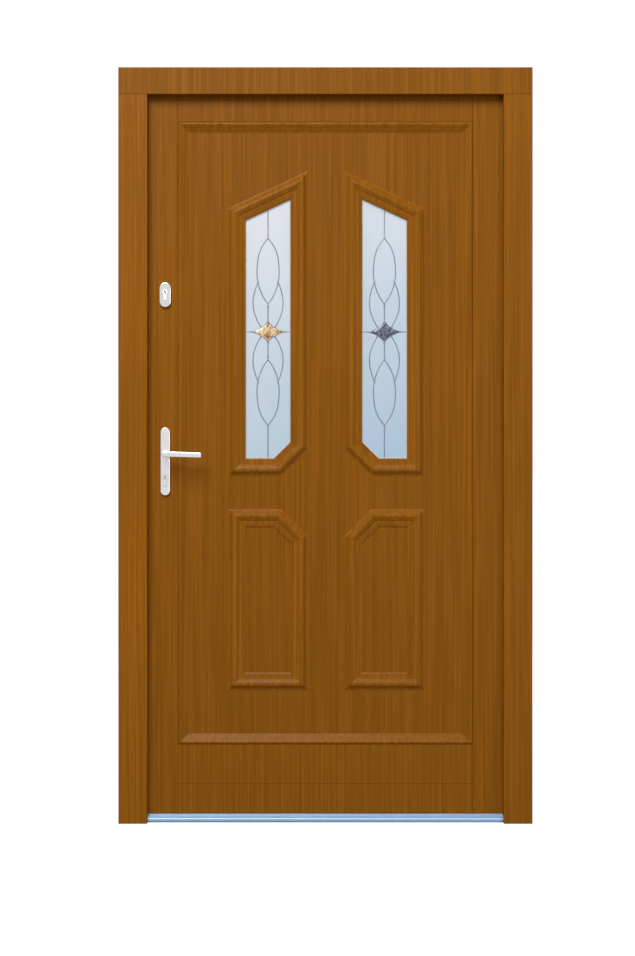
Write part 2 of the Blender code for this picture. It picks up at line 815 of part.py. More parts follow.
def make_plates():
    """Handle plates and cylinder escutcheons, outside and inside.

    The spindle's bore has its flats, not its corners, on the plates' middle line."""
    through = {
        "spindle": cylinder_mesh(
            SPINDLE_BORE,
            (LOCK_X, LEAF_FRONT - HUB_LENGTH, LEVER_HEIGHT),
            (LOCK_X, LEAF_BACK + HUB_LENGTH, LEVER_HEIGHT),
            (0, 1, 0),
            roll=math.pi / ROUND_SIDES,
        )
    }
    length = LEAF_THICKNESS + 2 * HUB_LENGTH
    for kind, height in (("main", CYLINDER_HEIGHT), ("upper", UPPER_CYLINDER_HEIGHT)):
        outline = lock_profile(height, CYLINDER_PLAY)
        through[kind] = prism_mesh(outline, facing(LEAF_FRONT - HUB_LENGTH), length)
    cutters = {kind: put(bm, f"{kind}_bore") for kind, bm in through.items()}
    handle_outline = stadium((LOCK_X, PLATE_MIDDLE), PLATE_WIDTH, PLATE_HEIGHT)
    escutcheon_outline = stadium((LOCK_X, ESCUTCHEON_MIDDLE), ESCUTCHEON_WIDTH, ESCUTCHEON_HEIGHT)
    for face, out, back in (
        ("outer", -1, LEAF_FRONT - TOUCH),
        ("inner", 1, LEAF_BACK + TOUCH),
    ):
        plate = rimmed_plate(f"handle_plate_{face}", handle_outline, back, out, PLATE_THICKNESS)
        combine(plate, cutters["spindle"], "DIFFERENCE")
        combine(plate, cutters["main"], "DIFFERENCE")
        escutcheon = rimmed_plate(
            f"upper_escutcheon_{face}", escutcheon_outline, back, out, ESCUTCHEON_THICKNESS
        )
        combine(escutcheon, cutters["upper"], "DIFFERENCE")
    return cutters


def make_cylinder(name, height, plate_thickness):
    """A profile cylinder through the leaf, with a keyway at each end."""
    proud = TOUCH + plate_thickness + CYLINDER_PROUD
    front, back = LEAF_FRONT - proud, LEAF_BACK + proud
    cylinder = prism(name, lock_profile(height), facing(front), back - front, SATIN_SILVER)
    half_width, half_height = KEY_SLOT_WIDTH / 2, KEY_SLOT_HEIGHT / 2
    for face, near, far in (
        ("outer", front - THROUGH, front + KEY_SLOT_DEPTH),
        ("inner", back - KEY_SLOT_DEPTH, back + THROUGH),
    ):
        slot = box(
            f"{name}_slot_{face}",
            (LOCK_X - half_width, near, height - half_height),
            (LOCK_X + half_width, far, height + half_height),
        )
        combine(cylinder, slot, "DIFFERENCE")


def make_lever(name, leaf_face, out):
    """A round hub and a flat grip that points towards the middle of the leaf."""
    start = leaf_face + out * (PLATE_THICKNESS + 2 * TOUCH)
    end = start + out * (HUB_LENGTH + GRIP_THICKNESS / 2)
    hub = cylinder_mesh(
        HUB_RADIUS, (LOCK_X, start, LEVER_HEIGHT), (LOCK_X, end, LEVER_HEIGHT), (0, 1, 0)
    )
    lever = put(hub, name, SATIN_SILVER)
    near, far = start + out * HUB_LENGTH, start + out * (HUB_LENGTH + GRIP_THICKNESS)
    grip = box_mesh(
        (-GRIP_START, min(near, far), -GRIP_HEIGHT / 2),
        (GRIP_REACH, max(near, far), GRIP_HEIGHT / 2),
    )
    bmesh.ops.bevel(
        grip,
        geom=grip.edges[:],
        offset=GRIP_ROUND,
        segments=GRIP_ROUND_STEPS,
        affect="EDGES",
        profile=0.5,
    )
    drooped = Matrix.Translation((LOCK_X, 0, LEVER_HEIGHT)) @ Matrix.Rotation(GRIP_DROOP, 4, "Y")
    bmesh.ops.transform(grip, matrix=drooped, verts=grip.verts)
    combine(lever, put(grip, f"{name}_grip"), "UNION")
    half = SPINDLE_SIDE / 2 + SPINDLE_PLAY
    near, far = start - out * THROUGH, start + out * SOCKET_DEPTH
    socket = box(
        f"{name}_socket",
        (LOCK_X - half, min(near, far), LEVER_HEIGHT - half),
        (LOCK_X + half, max(near, far), LEVER_HEIGHT + half),
    )
    combine(lever, socket, "DIFFERENCE")


def make_handle():
    make_lever("lever_outer", LEAF_FRONT, -1)
    make_lever("lever_inner", LEAF_BACK, 1)
    half = SPINDLE_SIDE / 2
    reach = PLATE_THICKNESS + 2 * TOUCH + SOCKET_DEPTH - SPINDLE_PLAY
    box(
        "spindle",
        (LOCK_X - half, LEAF_FRONT - reach, LEVER_HEIGHT - half),
        (LOCK_X + half, LEAF_BACK + reach, LEVER_HEIGHT + half),
        STEEL,
    )


def make_edge_plate(name, carrier, edge, side):
    """A plate let flush into the edge of the leaf or into the wall of the rebate."""
    middle = (LEAF_FRONT + LEAF_BACK) / 2
    half_width, half_height = EDGE_PLATE_WIDTH / 2, EDGE_PLATE_HEIGHT / 2
    inner = edge + side * EDGE_PLATE_THICKNESS
    low = Vector((min(edge, inner), middle - half_width, EDGE_PLATE_MIDDLE - half_height))
    high = Vector((max(edge, inner), middle + half_width, EDGE_PLATE_MIDDLE + half_height))
    box(name, low, high, STEEL)
    play = Vector((TOUCH, TOUCH, TOUCH))
    low, high = low - play, high + play
    open_side = edge - side * THROUGH
    low.x, high.x = min(low.x, open_side), max(high.x, open_side)
    combine(carrier, box(f"{name}_recess", low, high), "DIFFERENCE")


# Hinges


def hinge_half(name, height, side, knuckles):
    """A plate on the back of the frame or leaf, with its knuckles on the hinge axis.

    Each knuckle is a pair of shares of the hinge's height, from its bottom."""
    bottom, top = height - HINGE_HEIGHT / 2, height + HINGE_HEIGHT / 2
    back = FRAME_BACK + TOUCH
    clear = KNUCKLE_RADIUS + HINGE_SLACK
    near, far = HINGE_X + side * clear, HINGE_X + side * (clear + HINGE_PLATE_WIDTH)
    hinge = box(
        name,
        (min(near, far), back, bottom),
        (max(near, far), back + HINGE_PLATE_THICKNESS, top),
        STEEL,
    )
    for k, (low, high) in enumerate(knuckles):
        start, end = bottom + low * HINGE_HEIGHT, bottom + high * HINGE_HEIGHT
        knuckle = cylinder_mesh(KNUCKLE_RADIUS, (HINGE_X, HINGE_Y, start), (HINGE_X, HINGE_Y, end))
        combine(hinge, put(knuckle, f"{name}_knuckle_{k}"), "UNION")
        edge = HINGE_X + side * (clear + HINGE_SLACK)
        tab = box(
            f"{name}_tab_{k}",
            (min(HINGE_X, edge), back + TOUCH, start + TOUCH),
            (max(HINGE_X, edge), back + HINGE_PLATE_THICKNESS - TOUCH, end - TOUCH),
        )
        combine(hinge, tab, "UNION")
    return hinge


def on_hinge_axis(height, setback):
    """The two ends of a pin or bore that stops short of a hinge's ends."""
    reach = HINGE_HEIGHT / 2 - setback
    return (HINGE_X, HINGE_Y, height - reach), (HINGE_X, HINGE_Y, height + reach)


def make_hinges():
    third = 1 / 3
    slack = HINGE_SLACK / HINGE_HEIGHT / 2
    outer_knuckles = ((0.0, third - slack), (2 * third + slack, 1.0))
    middle_knuckle = ((third + slack, 2 * third - slack),)
    for k, height in enumerate(HINGE_HEIGHTS, start=1):
        frame_half = hinge_half(f"hinge_{k}_frame_part", height, 1, outer_knuckles)
        pin = cylinder_mesh(PIN_RADIUS, *on_hinge_axis(height, PIN_SETBACK))
        combine(frame_half, put(pin, f"hinge_{k}_pin"), "UNION")
        leaf_half = hinge_half(f"hinge_{k}_leaf_part", height, -1, middle_knuckle)
        bore = cylinder_mesh(PIN_RADIUS + PIN_PLAY, *on_hinge_axis(height, BORE_SETBACK))
        combine(leaf_half, put(bore, f"hinge_{k}_bore"), "DIFFERENCE")


def make_door():
    lock_jamb = make_jamb("jamb_lock_side", -1)
    make_jamb("jamb_hinge_side", 1)
    make_head()
    make_threshold()
    lock_stile = make_stile("stile_lock_side", -1)
    make_stile("stile_hinge_side", 1)
    make_rail("bottom_rail", LEAF_BOTTOM, BOTTOM_RAIL_TOP - TOUCH)
    make_rail("kick_rail", BOTTOM_RAIL_TOP, PANEL_SILL, 1)
    make_rail("top_rail", PANEL_TOP, LEAF_TOP, -1)
    make_panel()
    make_bead()
    for (side_name, side), jewel in zip(SIDES.items(), (AMBER, SMOKE)):
        make_surrounds(side_name, side)
        make_glass(side_name, side)
        make_inner_bead(side_name, side)
        make_leading(side_name, side)
        make_jewel(side_name, side, jewel)
    for cutter in make_plates().values():
        combine(lock_stile, cutter, "DIFFERENCE")
    make_cylinder("lock_cylinder_main", CYLINDER_HEIGHT, PLATE_THICKNESS)
    make_cylinder("lock_cylinder_upper", UPPER_CYLINDER_HEIGHT, ESCUTCHEON_THICKNESS)
    make_handle()
    make_edge_plate("lock_forend", lock_stile, -LEAF_EDGE, 1)
    make_edge_plate("strike_plate", lock_jamb, -WALL_EDGE, -1)
    make_hinges()


make_door()
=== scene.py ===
"""Looks of an entrance door set in golden oak: mouldings, leading, glass, lock furniture and a white studio.

Metres, +Z up. The outside of the door looks along -Y, and the leaf is hung at +X.
"""

import logging
import math
from contextlib import contextmanager
from dataclasses import dataclass
from enum import Enum
from typing import Callable, Iterator, Sequence

import bmesh
import bpy
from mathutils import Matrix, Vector


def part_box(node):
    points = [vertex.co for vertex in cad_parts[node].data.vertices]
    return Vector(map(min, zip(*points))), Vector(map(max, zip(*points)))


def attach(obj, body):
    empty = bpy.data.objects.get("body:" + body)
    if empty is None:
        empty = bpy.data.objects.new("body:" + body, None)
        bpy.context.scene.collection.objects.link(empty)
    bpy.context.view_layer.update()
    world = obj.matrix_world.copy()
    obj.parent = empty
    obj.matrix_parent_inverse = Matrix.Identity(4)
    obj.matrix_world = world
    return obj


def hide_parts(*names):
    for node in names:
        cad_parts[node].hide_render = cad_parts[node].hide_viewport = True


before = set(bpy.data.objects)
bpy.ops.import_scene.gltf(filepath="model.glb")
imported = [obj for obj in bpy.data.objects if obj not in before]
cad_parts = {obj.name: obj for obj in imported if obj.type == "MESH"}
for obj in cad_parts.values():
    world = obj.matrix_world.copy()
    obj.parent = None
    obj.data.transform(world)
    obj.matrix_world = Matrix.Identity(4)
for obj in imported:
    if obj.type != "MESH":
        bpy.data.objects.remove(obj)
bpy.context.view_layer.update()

LOG = logging.getLogger("door_set")

Point = tuple[float, float]
Colour = tuple[float, float, float]

# Gap between pieces that touch
SEAM = 0.0001

# How far a cutting tool reaches past the face that it cuts
OVERSHOOT = 0.01


class Body(str, Enum):
    """The bodies that pieces ride on."""

    FRAME = "frame"
    LEAF = "leaf"
    HANDLE = "handle"


class Slot(str, Enum):
    """The finishes that the record lists."""

    OAK = "golden_oak"
    THRESHOLD = "threshold_metal"
    SILVER = "satin_silver"
    CYLINDER = "cylinder_metal"
    STEEL = "hinge_steel"
    GLASS = "satin_glass"
    LEAD = "lead_came"
    AMBER = "amber_glass"
    SMOKE = "smoke_glass"


class Side(Enum):
    """Left or right of the leaf's middle, seen from outside."""

    LEFT = -1
    RIGHT = 1

    @property
    def word(self) -> str:
        """The side as it stands in a piece's name."""
        return self.name.lower()


class Face(Enum):
    """The outside or the inside of the leaf, as the direction that it looks in along Y."""

    OUTER = -1
    INNER = 1

    @property
    def word(self) -> str:
        """The face as it stands in a piece's name."""
        return self.name.lower()


def screen_colour(red: int, green: int, blue: int) -> Colour:
    """Turns a colour in screen values, 0 to 255, into the linear one that shaders use.

    Args:
        red: Red part.
        green: Green part.
        blue: Blue part.

    Returns:
        The linear colour.
    """
    parts = [part / 255 for part in (red, green, blue)]
    return tuple(p / 12.92 if p <= 0.04045 else ((p + 0.055) / 1.055) ** 2.4 for p in parts)


# Shading


class Wiring:
    """A node tree that is being wired."""

    def __init__(self, tree: bpy.types.NodeTree) -> None:
        """Starts on a tree.

        Args:
            tree: The tree that gets the nodes.
        """
        self.tree = tree

    def node(self, kind: str, inputs: dict | None = None, **settings: object) -> bpy.types.Node:
        """Adds one node.

        Args:
            kind: The node's type.
            inputs: Values or sockets for its inputs, by name or number.
            **settings: Values of the node's own properties.

        Returns:
            The new node.
        """
        made = self.tree.nodes.new(kind)
        for name, value in settings.items():
            setattr(made, name, value)
        for name, value in (inputs or {}).items():
            if isinstance(value, bpy.types.NodeSocket):
                self.tree.links.new(value, made.inputs[name])
            else:
                made.inputs[name].default_value = value
        return made

    def math(self, operation: str, first: object, second: object = 0.0) -> bpy.types.NodeSocket:
        """Adds a Math node.

        Args:
            operation: What it works out.
            first: Its first value or socket.
            second: Its second value or socket.

        Returns:
            The result's socket.
        """
        return self.node("ShaderNodeMath", {0: first, 1: second}, operation=operation).outputs[0]

    def stretch(self, position: object, scale: object) -> bpy.types.NodeSocket:
        """Scales a position along each axis.

        Args:
            position: The position's socket.
            scale: The factor on each axis, or its socket.

        Returns:
            The scaled position's socket.
        """
        inputs = {0: position, 1: scale}
        return self.node("ShaderNodeVectorMath", inputs, operation="MULTIPLY").outputs[0]

    def noise(self, position: object, scale: float, detail: float = 2.0) -> bpy.types.NodeSocket:
        """Adds smooth noise.

        Args:
            position: Where it is read.
            scale: Lumps a metre.
            detail: How many finer layers it has.

        Returns:
            The noise's socket, from 0 to 1.
        """
        inputs = {"Vector": position, "Scale": scale, "Detail": detail}
        return self.node("ShaderNodeTexNoise", inputs).outputs[0]

    def span(
        self, value: object, low: float, high: float, start: float = 0.0, end: float = 1.0
    ) -> bpy.types.NodeSocket:
        """Maps a value's range smoothly onto another.

        Args:
            value: The value's socket.
            low: Value that becomes the start.
            high: Value that becomes the end.
            start: Result at the low value.
            end: Result at the high value.

        Returns:
            The result's socket.
        """
        inputs = {0: value, 1: low, 2: high, 3: start, 4: end}
        return self.node("ShaderNodeMapRange", inputs, interpolation_type="SMOOTHSTEP").outputs[0]

    def mix(self, share: object, first: object, second: object) -> bpy.types.NodeSocket:
        """Mixes two colours.

        Args:
            share: How much of the second shows.
            first: First colour or socket.
            second: Second colour or socket.

        Returns:
            The mixed colour's socket.
        """
        opaque = [(*c, 1.0) if isinstance(c, tuple) else c for c in (first, second)]
        inputs = {0: share, 6: opaque[0], 7: opaque[1]}
        return self.node("ShaderNodeMix", inputs, data_type="RGBA").outputs[2]


def node_group(
    name: str, inputs: dict[str, str], outputs: Sequence[str], build: Callable[[Wiring, object], dict]
) -> bpy.types.NodeTree:
    """Makes a shader node group.

    Args:
        name: The group's name.
        inputs: Each input's name and whether it is a Vector or a Float.
        outputs: Names of its outputs, which are all values.
        build: Wires the group and gives the socket for each output's name.

    Returns:
        The group.
    """
    tree = bpy.data.node_groups.new(name, "ShaderNodeTree")
    for label, kind in inputs.items():
        tree.interface.new_socket(label, in_out="INPUT", socket_type=f"NodeSocket{kind}")
    for label in outputs:
        tree.interface.new_socket(label, in_out="OUTPUT", socket_type="NodeSocketFloat")
    wiring = Wiring(tree)
    results = build(wiring, wiring.node("NodeGroupInput").outputs)
    wiring.node("NodeGroupOutput", results)
    return tree


def build_figure(wiring: Wiring, given: object) -> dict:
    """Wires the upright figure of oak: soft bands, fine lines and short open pores.

    Args:
        wiring: The group's tree.
        given: The group's inputs.

    Returns:
        The sockets of Bands, Lines and Pores.
    """
    shift = wiring.node(
        "ShaderNodeVectorMath", {0: (7.31, 3.17, 1.73), "Scale": given["Seed"]}, operation="SCALE"
    ).outputs[0]
    place = wiring.node(
        "ShaderNodeVectorMath", {0: given["Position"], 1: shift}, operation="ADD"
    ).outputs[0]
    broad = wiring.noise(wiring.stretch(place, (1, 1, 0.016)), given["Bands a metre"], 1.5)
    narrow = wiring.noise(wiring.stretch(place, (1, 1, 0.006)), given["Lines a metre"], 3.0)
    dashes = wiring.noise(wiring.stretch(place, (1, 1, 0.020)), 1150.0, 1.0)
    return {
        "Bands": wiring.span(broad, 0.34, 0.66),
        "Lines": wiring.span(narrow, 0.30, 0.70),
        "Pores": wiring.span(dashes, 0.60, 0.74),
    }


def build_brushing(wiring: Wiring, given: object) -> dict:
    """Wires fine streaks that run along one axis of a metal.

    Args:
        wiring: The group's tree.
        given: The group's inputs.

    Returns:
        The sockets of Streaks and Clouds.
    """
    return {
        "Streaks": wiring.noise(wiring.stretch(given["Position"], given["Stretch"]), 2600.0, 3.0),
        "Clouds": wiring.noise(given["Position"], 38.0, 2.0),
    }


def build_marbling(wiring: Wiring, given: object) -> dict:
    """Wires the wavy streaks inside cast coloured glass, and flecks of painted glint.

    Args:
        wiring: The group's tree.
        given: The group's inputs.

    Returns:
        The sockets of Streaks and Painted glints.
    """
    waves = wiring.noise(wiring.stretch(given["Position"], (1, 1, 0.42)), 105.0, 3.0)
    waves.node.inputs["Distortion"].default_value = 1.6
    # These pale flecks are painted glints: highlights painted into the glass's colour.
    painted_glint_noise = wiring.noise(given["Position"], 260.0, 2.0)
    return {"Streaks": wiring.span(waves, 0.36, 0.66), "Glints": wiring.span(painted_glint_noise, 0.60, 0.68)}


class Finish:
    """What all finishes share: their node groups, the start of a material and a fine relief."""

    figure: bpy.types.NodeTree
    brushing: bpy.types.NodeTree
    marbling: bpy.types.NodeTree

    @classmethod
    def make_groups(cls) -> None:
        """Makes the node groups that several finishes share."""
        cls.figure = node_group(
            "upright_figure",
            {"Position": "Vector", "Seed": "Float", "Bands a metre": "Float", "Lines a metre": "Float"},
            ("Bands", "Lines", "Pores"),
            build_figure,
        )
        cls.brushing = node_group(
            "brushed_streaks",
            {"Position": "Vector", "Stretch": "Vector"},
            ("Streaks", "Clouds"),
            build_brushing,
        )
        cls.marbling = node_group(
            "marbled_glass", {"Position": "Vector"}, ("Streaks", "Glints"), build_marbling
        )

    def begin(self, name: str) -> tuple[bpy.types.Material, Wiring, bpy.types.Node, object]:
        """Starts a material.

        Args:
            name: The material's name.

        Returns:
            The material, its wiring, its shader and the socket of the object coordinates.
        """
        material = bpy.data.materials.new(name)
        material.use_nodes = True
        wiring = Wiring(material.node_tree)
        shader = material.node_tree.nodes["Principled BSDF"]
        position = wiring.node("ShaderNodeTexCoord").outputs["Object"]
        return material, wiring, shader, position

    @staticmethod
    def paint(
        wiring: Wiring, shader: bpy.types.Node, colour: object, height: object, depth: float
    ) -> None:
        """Gives a shader its colour and a fine relief.

        Args:
            wiring: The material's wiring.
            shader: Its shader.
            colour: The colour's socket.
            height: The relief's socket.
            depth: How deep the relief is, in metres.
        """
        wiring.tree.links.new(colour, shader.inputs["Base Color"])
        inputs = {"Height": height, "Distance": depth, "Strength": 1.0}
        bumped = wiring.node("ShaderNodeBump", inputs)
        wiring.tree.links.new(bumped.outputs[0], shader.inputs["Normal"])

    @staticmethod
    def roughen(
        wiring: Wiring, shader: bpy.types.Node, mask: object, spread: float, least: float
    ) -> None:
        """Gives a shader a roughness that follows a mask.

        Args:
            wiring: The material's wiring.
            shader: Its shader.
            mask: The mask's socket.
            spread: How much rougher it is where the mask is 1.
            least: The roughness where the mask is 0.
        """
        rough = wiring.math("MULTIPLY_ADD", mask, spread)
        rough.node.inputs[2].default_value = least
        wiring.tree.links.new(rough, shader.inputs["Roughness"])

    @staticmethod
    def settle(shader: bpy.types.Node, values: dict[str, float]) -> None:
        """Sets a shader's plain values.

        Args:
            shader: The shader.
            values: Each socket's name and value.
        """
        for name, value in values.items():
            shader.inputs[name].default_value = value


@dataclass(frozen=True)
class Oak(Finish):
    """Golden oak, with an upright figure. Each board has a seed and a tone of its own, and the tone is
    partly painted light and shade: lighter or darker with how the light falls on that board.
    """

    name: str
    seed: float
    tone: float = 1.0
    bands: float = 125.0
    lines: float = 330.0
    deep: Colour = screen_colour(130, 79, 8)
    pale: Colour = screen_colour(144, 87, 15)
    line: Colour = screen_colour(108, 64, 2)
    pore: Colour = screen_colour(84, 46, 2)
    line_share: float = 0.58
    pore_share: float = 0.30
    line_roughness: float = 0.10
    roughness: float = 0.42
    sheen: float = 0.05
    lacquer: float = 0.06
    gloss: float = 0.22
    relief: float = 0.00003

    def material(self) -> bpy.types.Material:
        """Makes the material of one board.

        Returns:
            The material.
        """
        material, wiring, shader, position = self.begin(self.name)
        inputs = {
            "Position": position,
            "Seed": self.seed,
            "Bands a metre": self.bands,
            "Lines a metre": self.lines,
        }
        bands, lines, pores = wiring.node("ShaderNodeGroup", inputs, node_tree=self.figure).outputs
        deep = tuple(part * self.tone for part in self.deep)
        pale = tuple(part * self.tone for part in self.pale)
        ground = wiring.mix(bands, deep, pale)
        lined = wiring.mix(wiring.math("MULTIPLY", lines, self.line_share), ground, self.line)
        pored = wiring.mix(wiring.math("MULTIPLY", pores, self.pore_share), lined, self.pore)
        self.roughen(wiring, shader, lines, self.line_roughness, self.roughness)
        self.paint(wiring, shader, pored, wiring.math("SUBTRACT", lines, pores), self.relief)
        self.settle(
            shader,
            {
                "Specular IOR Level": self.sheen,
                "Coat Weight": self.lacquer,
                "Coat Roughness": self.gloss,
            },
        )
        return material


@dataclass(frozen=True)
class Metal(Finish):
    """A satin metal, brushed along one axis."""

    name: str
    bright: Colour
    dull: Colour
    roughness: float
    stretch: tuple[float, float, float] = (1.0, 1.0, 0.02)
    spread: float = 0.10
    relief: float = 0.000006
    metallic: float = 1.0

    def material(self) -> bpy.types.Material:
        """Makes the material.

        Returns:
            The material.
        """
        material, wiring, shader, position = self.begin(self.name)
        inputs = {"Position": position, "Stretch": self.stretch}
        streaks, clouds = wiring.node("ShaderNodeGroup", inputs, node_tree=self.brushing).outputs
        share = wiring.math("MULTIPLY", wiring.math("ADD", streaks, clouds), 0.5)
        self.roughen(wiring, shader, streaks, self.spread, self.roughness)
        self.paint(wiring, shader, wiring.mix(share, self.bright, self.dull), streaks, self.relief)
        self.settle(shader, {"Metallic": self.metallic})
        return material


@dataclass(frozen=True)
class SatinGlass(Finish):
    """Satin glass whose colour pales from foot to head: a painted reflection of the sky."""

    name: str
    low: float
    high: float
    foot: Colour
    head: Colour
    cloud: float = 0.10
    roughness: float = 0.30
    clear: float = 0.15
    bending: float = 1.5

    def material(self) -> bpy.types.Material:
        """Makes the material.

        Returns:
            The material.
        """
        material, wiring, shader, position = self.begin(self.name)
        # The colour rises with height from foot to head, a painted reflection of the sky.
        height = wiring.node("ShaderNodeSeparateXYZ", {0: position}).outputs["Z"]
        rise = wiring.node("ShaderNodeMapRange", {0: height, 1: self.low, 2: self.high}).outputs[0]
        soft = wiring.noise(wiring.stretch(position, (1, 1, 0.25)), 9.0, 1.0)
        share = wiring.math("ADD", rise, wiring.span(soft, 0.3, 0.7, -self.cloud, self.cloud))
        share.node.use_clamp = True
        wiring.tree.links.new(wiring.mix(share, self.foot, self.head), shader.inputs["Base Color"])
        self.settle(
            shader,
            {"Roughness": self.roughness, "Transmission Weight": self.clear, "IOR": self.bending},
        )
        return material


@dataclass(frozen=True)
class CastGlass(Finish):
    """Cast coloured glass with streaks in it, and pale flecks that are painted glints."""

    name: str
    pale: Colour
    deep: Colour
    glint: Colour
    roughness: float = 0.08
    clear: float = 0.20
    bending: float = 1.52
    relief: float = 0.0006

    def material(self) -> bpy.types.Material:
        """Makes the material.

        Returns:
            The material.
        """
        material, wiring, shader, position = self.begin(self.name)
        inputs = {"Position": position}
        streaks, painted_glints = wiring.node("ShaderNodeGroup", inputs, node_tree=self.marbling).outputs
        body = wiring.mix(streaks, self.pale, self.deep)
        # The glint colour is mixed in as painted highlights.
        self.paint(wiring, shader, wiring.mix(painted_glints, body, self.glint), streaks, self.relief)
        self.settle(
            shader,
            {"Roughness": self.roughness, "Transmission Weight": self.clear, "IOR": self.bending},
        )
        return material


@dataclass(frozen=True)
class Dull(Finish):
    """A plain dull finish with a slightly uneven surface."""

    name: str
    colour: Colour
    shade: Colour
    roughness: float = 0.55
    relief: float = 0.00003

    def material(self) -> bpy.types.Material:
        """Makes the material.

        Returns:
            The material.
        """
        material, wiring, shader, position = self.begin(self.name)
        uneven = wiring.noise(position, 210.0, 2.0)
        colour = wiring.mix(uneven, self.colour, self.shade)
        self.paint(wiring, shader, colour, uneven, self.relief)
        self.settle(shader, {"Roughness": self.roughness})
        return material


# Modelling


class Bench:
    """Blender's modelling operators, each used on a clean selection."""

    @staticmethod
    def take(*pieces: bpy.types.Object) -> None:
        """Selects these pieces alone. The last one is active.

        Args:
            *pieces: The pieces, or none.
        """
        if bpy.context.object and bpy.context.object.mode != "OBJECT":
            bpy.ops.object.mode_set(mode="OBJECT")
        bpy.ops.object.select_all(action="DESELECT")
        for piece in pieces:
            piece.select_set(True)
            bpy.context.view_layer.objects.active = piece

    @staticmethod
    @contextmanager
    def editing(piece: bpy.types.Object) -> Iterator[None]:
        """Opens a piece in edit mode with all of it selected, and closes it again.

        Args:
            piece: The piece to edit.

        Yields:
            Nothing, while the piece is open.
        """
        Bench.take(piece)
        bpy.ops.object.mode_set(mode="EDIT")
        bpy.ops.mesh.select_mode(type="VERT")
        bpy.ops.mesh.select_all(action="SELECT")
        yield
        bpy.ops.object.mode_set(mode="OBJECT")

    @staticmethod
    def pick_faces(piece: bpy.types.Object, test: Callable[[Vector, Vector], bool]) -> None:
        """Selects, in edit mode, only the faces that pass a test.

        Args:
            piece: The piece being edited.
            test: Says yes or no from a face's middle and its normal.
        """
        bpy.ops.mesh.select_mode(type="FACE")
        bpy.ops.mesh.select_all(action="DESELECT")
        mesh = bmesh.from_edit_mesh(piece.data)
        mesh.normal_update()
        for face in mesh.faces:
            middle = piece.matrix_world @ face.calc_center_median()
            face.select_set(test(middle, face.normal))
        bmesh.update_edit_mesh(piece.data)

    @staticmethod
    def named(name: str) -> bpy.types.Object:
        """Names the active object and its mesh, and applies its place.

        Args:
            name: The name of both.

        Returns:
            The object.
        """
        piece = bpy.context.object
        piece.name = piece.data.name = name
        bpy.ops.object.transform_apply(location=True, rotation=True, scale=True)
        return piece

    @staticmethod
    def block(name: str, low: Sequence[float], high: Sequence[float]) -> bpy.types.Object:
        """Adds a box between two corners.

        Args:
            name: The piece's name.
            low: Its lowest corner.
            high: Its highest corner.

        Returns:
            The box.
        """
        Bench.take()
        middle = (Vector(low) + Vector(high)) / 2
        size = Vector(high) - Vector(low)
        bpy.ops.mesh.primitive_cube_add(size=1.0, location=middle, scale=size)
        return Bench.named(name)

    @staticmethod
    def rod(name: str, start: Vector, end: Vector, radius: float, sides: int = 48) -> bpy.types.Object:
        """Adds a round bar between two points.

        Args:
            name: The piece's name.
            start: Middle of one end.
            end: Middle of the other end.
            radius: The bar's radius.
            sides: How many sides it has.

        Returns:
            The bar.
        """
        Bench.take()
        run = Vector(end) - Vector(start)
        bpy.ops.mesh.primitive_cylinder_add(
            vertices=sides,
            radius=radius,
            depth=run.length,
            location=(Vector(start) + Vector(end)) / 2,
            rotation=run.to_track_quat("Z", "Y").to_euler(),
        )
        return Bench.named(name)

    @staticmethod
    def outline(name: str, points: Sequence[Vector]) -> bpy.types.Object:
        """Draws a closed outline from corner to corner and fills it with one face.

        Args:
            name: The piece's name.
            points: The outline's corners, all in one plane.

        Returns:
            The flat piece.
        """
        Bench.take()
        bpy.ops.mesh.primitive_plane_add(size=SEAM, location=points[0])
        piece = Bench.named(name)
        with Bench.editing(piece):
            bpy.ops.mesh.merge(type="CENTER")
            for before, after in zip(points, points[1:]):
                bpy.ops.mesh.extrude_vertices_move(TRANSFORM_OT_translate={"value": after - before})
            bpy.ops.mesh.select_all(action="SELECT")
            bpy.ops.mesh.edge_face_add()
        return piece

    @staticmethod
    def slab(name: str, points: Sequence[Vector], along: Vector) -> bpy.types.Object:
        """Draws a closed outline and extrudes it into a solid.

        Args:
            name: The piece's name.
            points: The outline's corners, all in one plane.
            along: How far and which way the outline's face moves.

        Returns:
            The solid.
        """
        return Bench.thicken(Bench.outline(name, points), along)

    @staticmethod
    def thicken(piece: bpy.types.Object, along: Vector) -> bpy.types.Object:
        """Extrudes a flat piece into a solid.

        Args:
            piece: The flat piece.
            along: How far and which way its face moves.

        Returns:
            The same piece.
        """
        with Bench.editing(piece):
            bpy.ops.mesh.extrude_region_move(TRANSFORM_OT_translate={"value": along})
            bpy.ops.mesh.select_all(action="SELECT")
            bpy.ops.mesh.normals_make_consistent(inside=False)
        return piece

    @staticmethod
    def trim(piece: bpy.types.Object, point: Vector, away: Vector) -> None:
        """Cuts off and closes what lies past a plane.

        Args:
            piece: The solid to cut.
            point: A point of the plane.
            away: The side that is cut off.
        """
        with Bench.editing(piece):
            bpy.ops.mesh.bisect(
                plane_co=point, plane_no=away, use_fill=True, clear_outer=True, threshold=0.000001
            )

    @staticmethod
    def modified(piece: bpy.types.Object, kind: str, **settings: object) -> bpy.types.Object:
        """Adds a modifier and applies it.

        Args:
            piece: The piece to change.
            kind: The modifier's type.
            **settings: The modifier's values.

        Returns:
            The same piece.
        """
        Bench.take(piece)
        bpy.ops.object.modifier_add(type=kind)
        modifier = piece.modifiers[-1]
        for name, value in settings.items():
            setattr(modifier, name, value)
        bpy.ops.object.modifier_apply(modifier=modifier.name)
        return piece

    @staticmethod
    def combine(piece: bpy.types.Object, tool: bpy.types.Object, operation: str) -> bpy.types.Object:
        """Joins a tool to a piece or cuts it out, and removes the tool.

        Args:
            piece: The piece that stays.
            tool: The other solid.
            operation: UNION, DIFFERENCE or INTERSECT.

        Returns:
            The piece.
        """
        Bench.modified(piece, "BOOLEAN", object=tool, operation=operation, solver="EXACT")
        bpy.data.objects.remove(tool, do_unlink=True)
        return piece

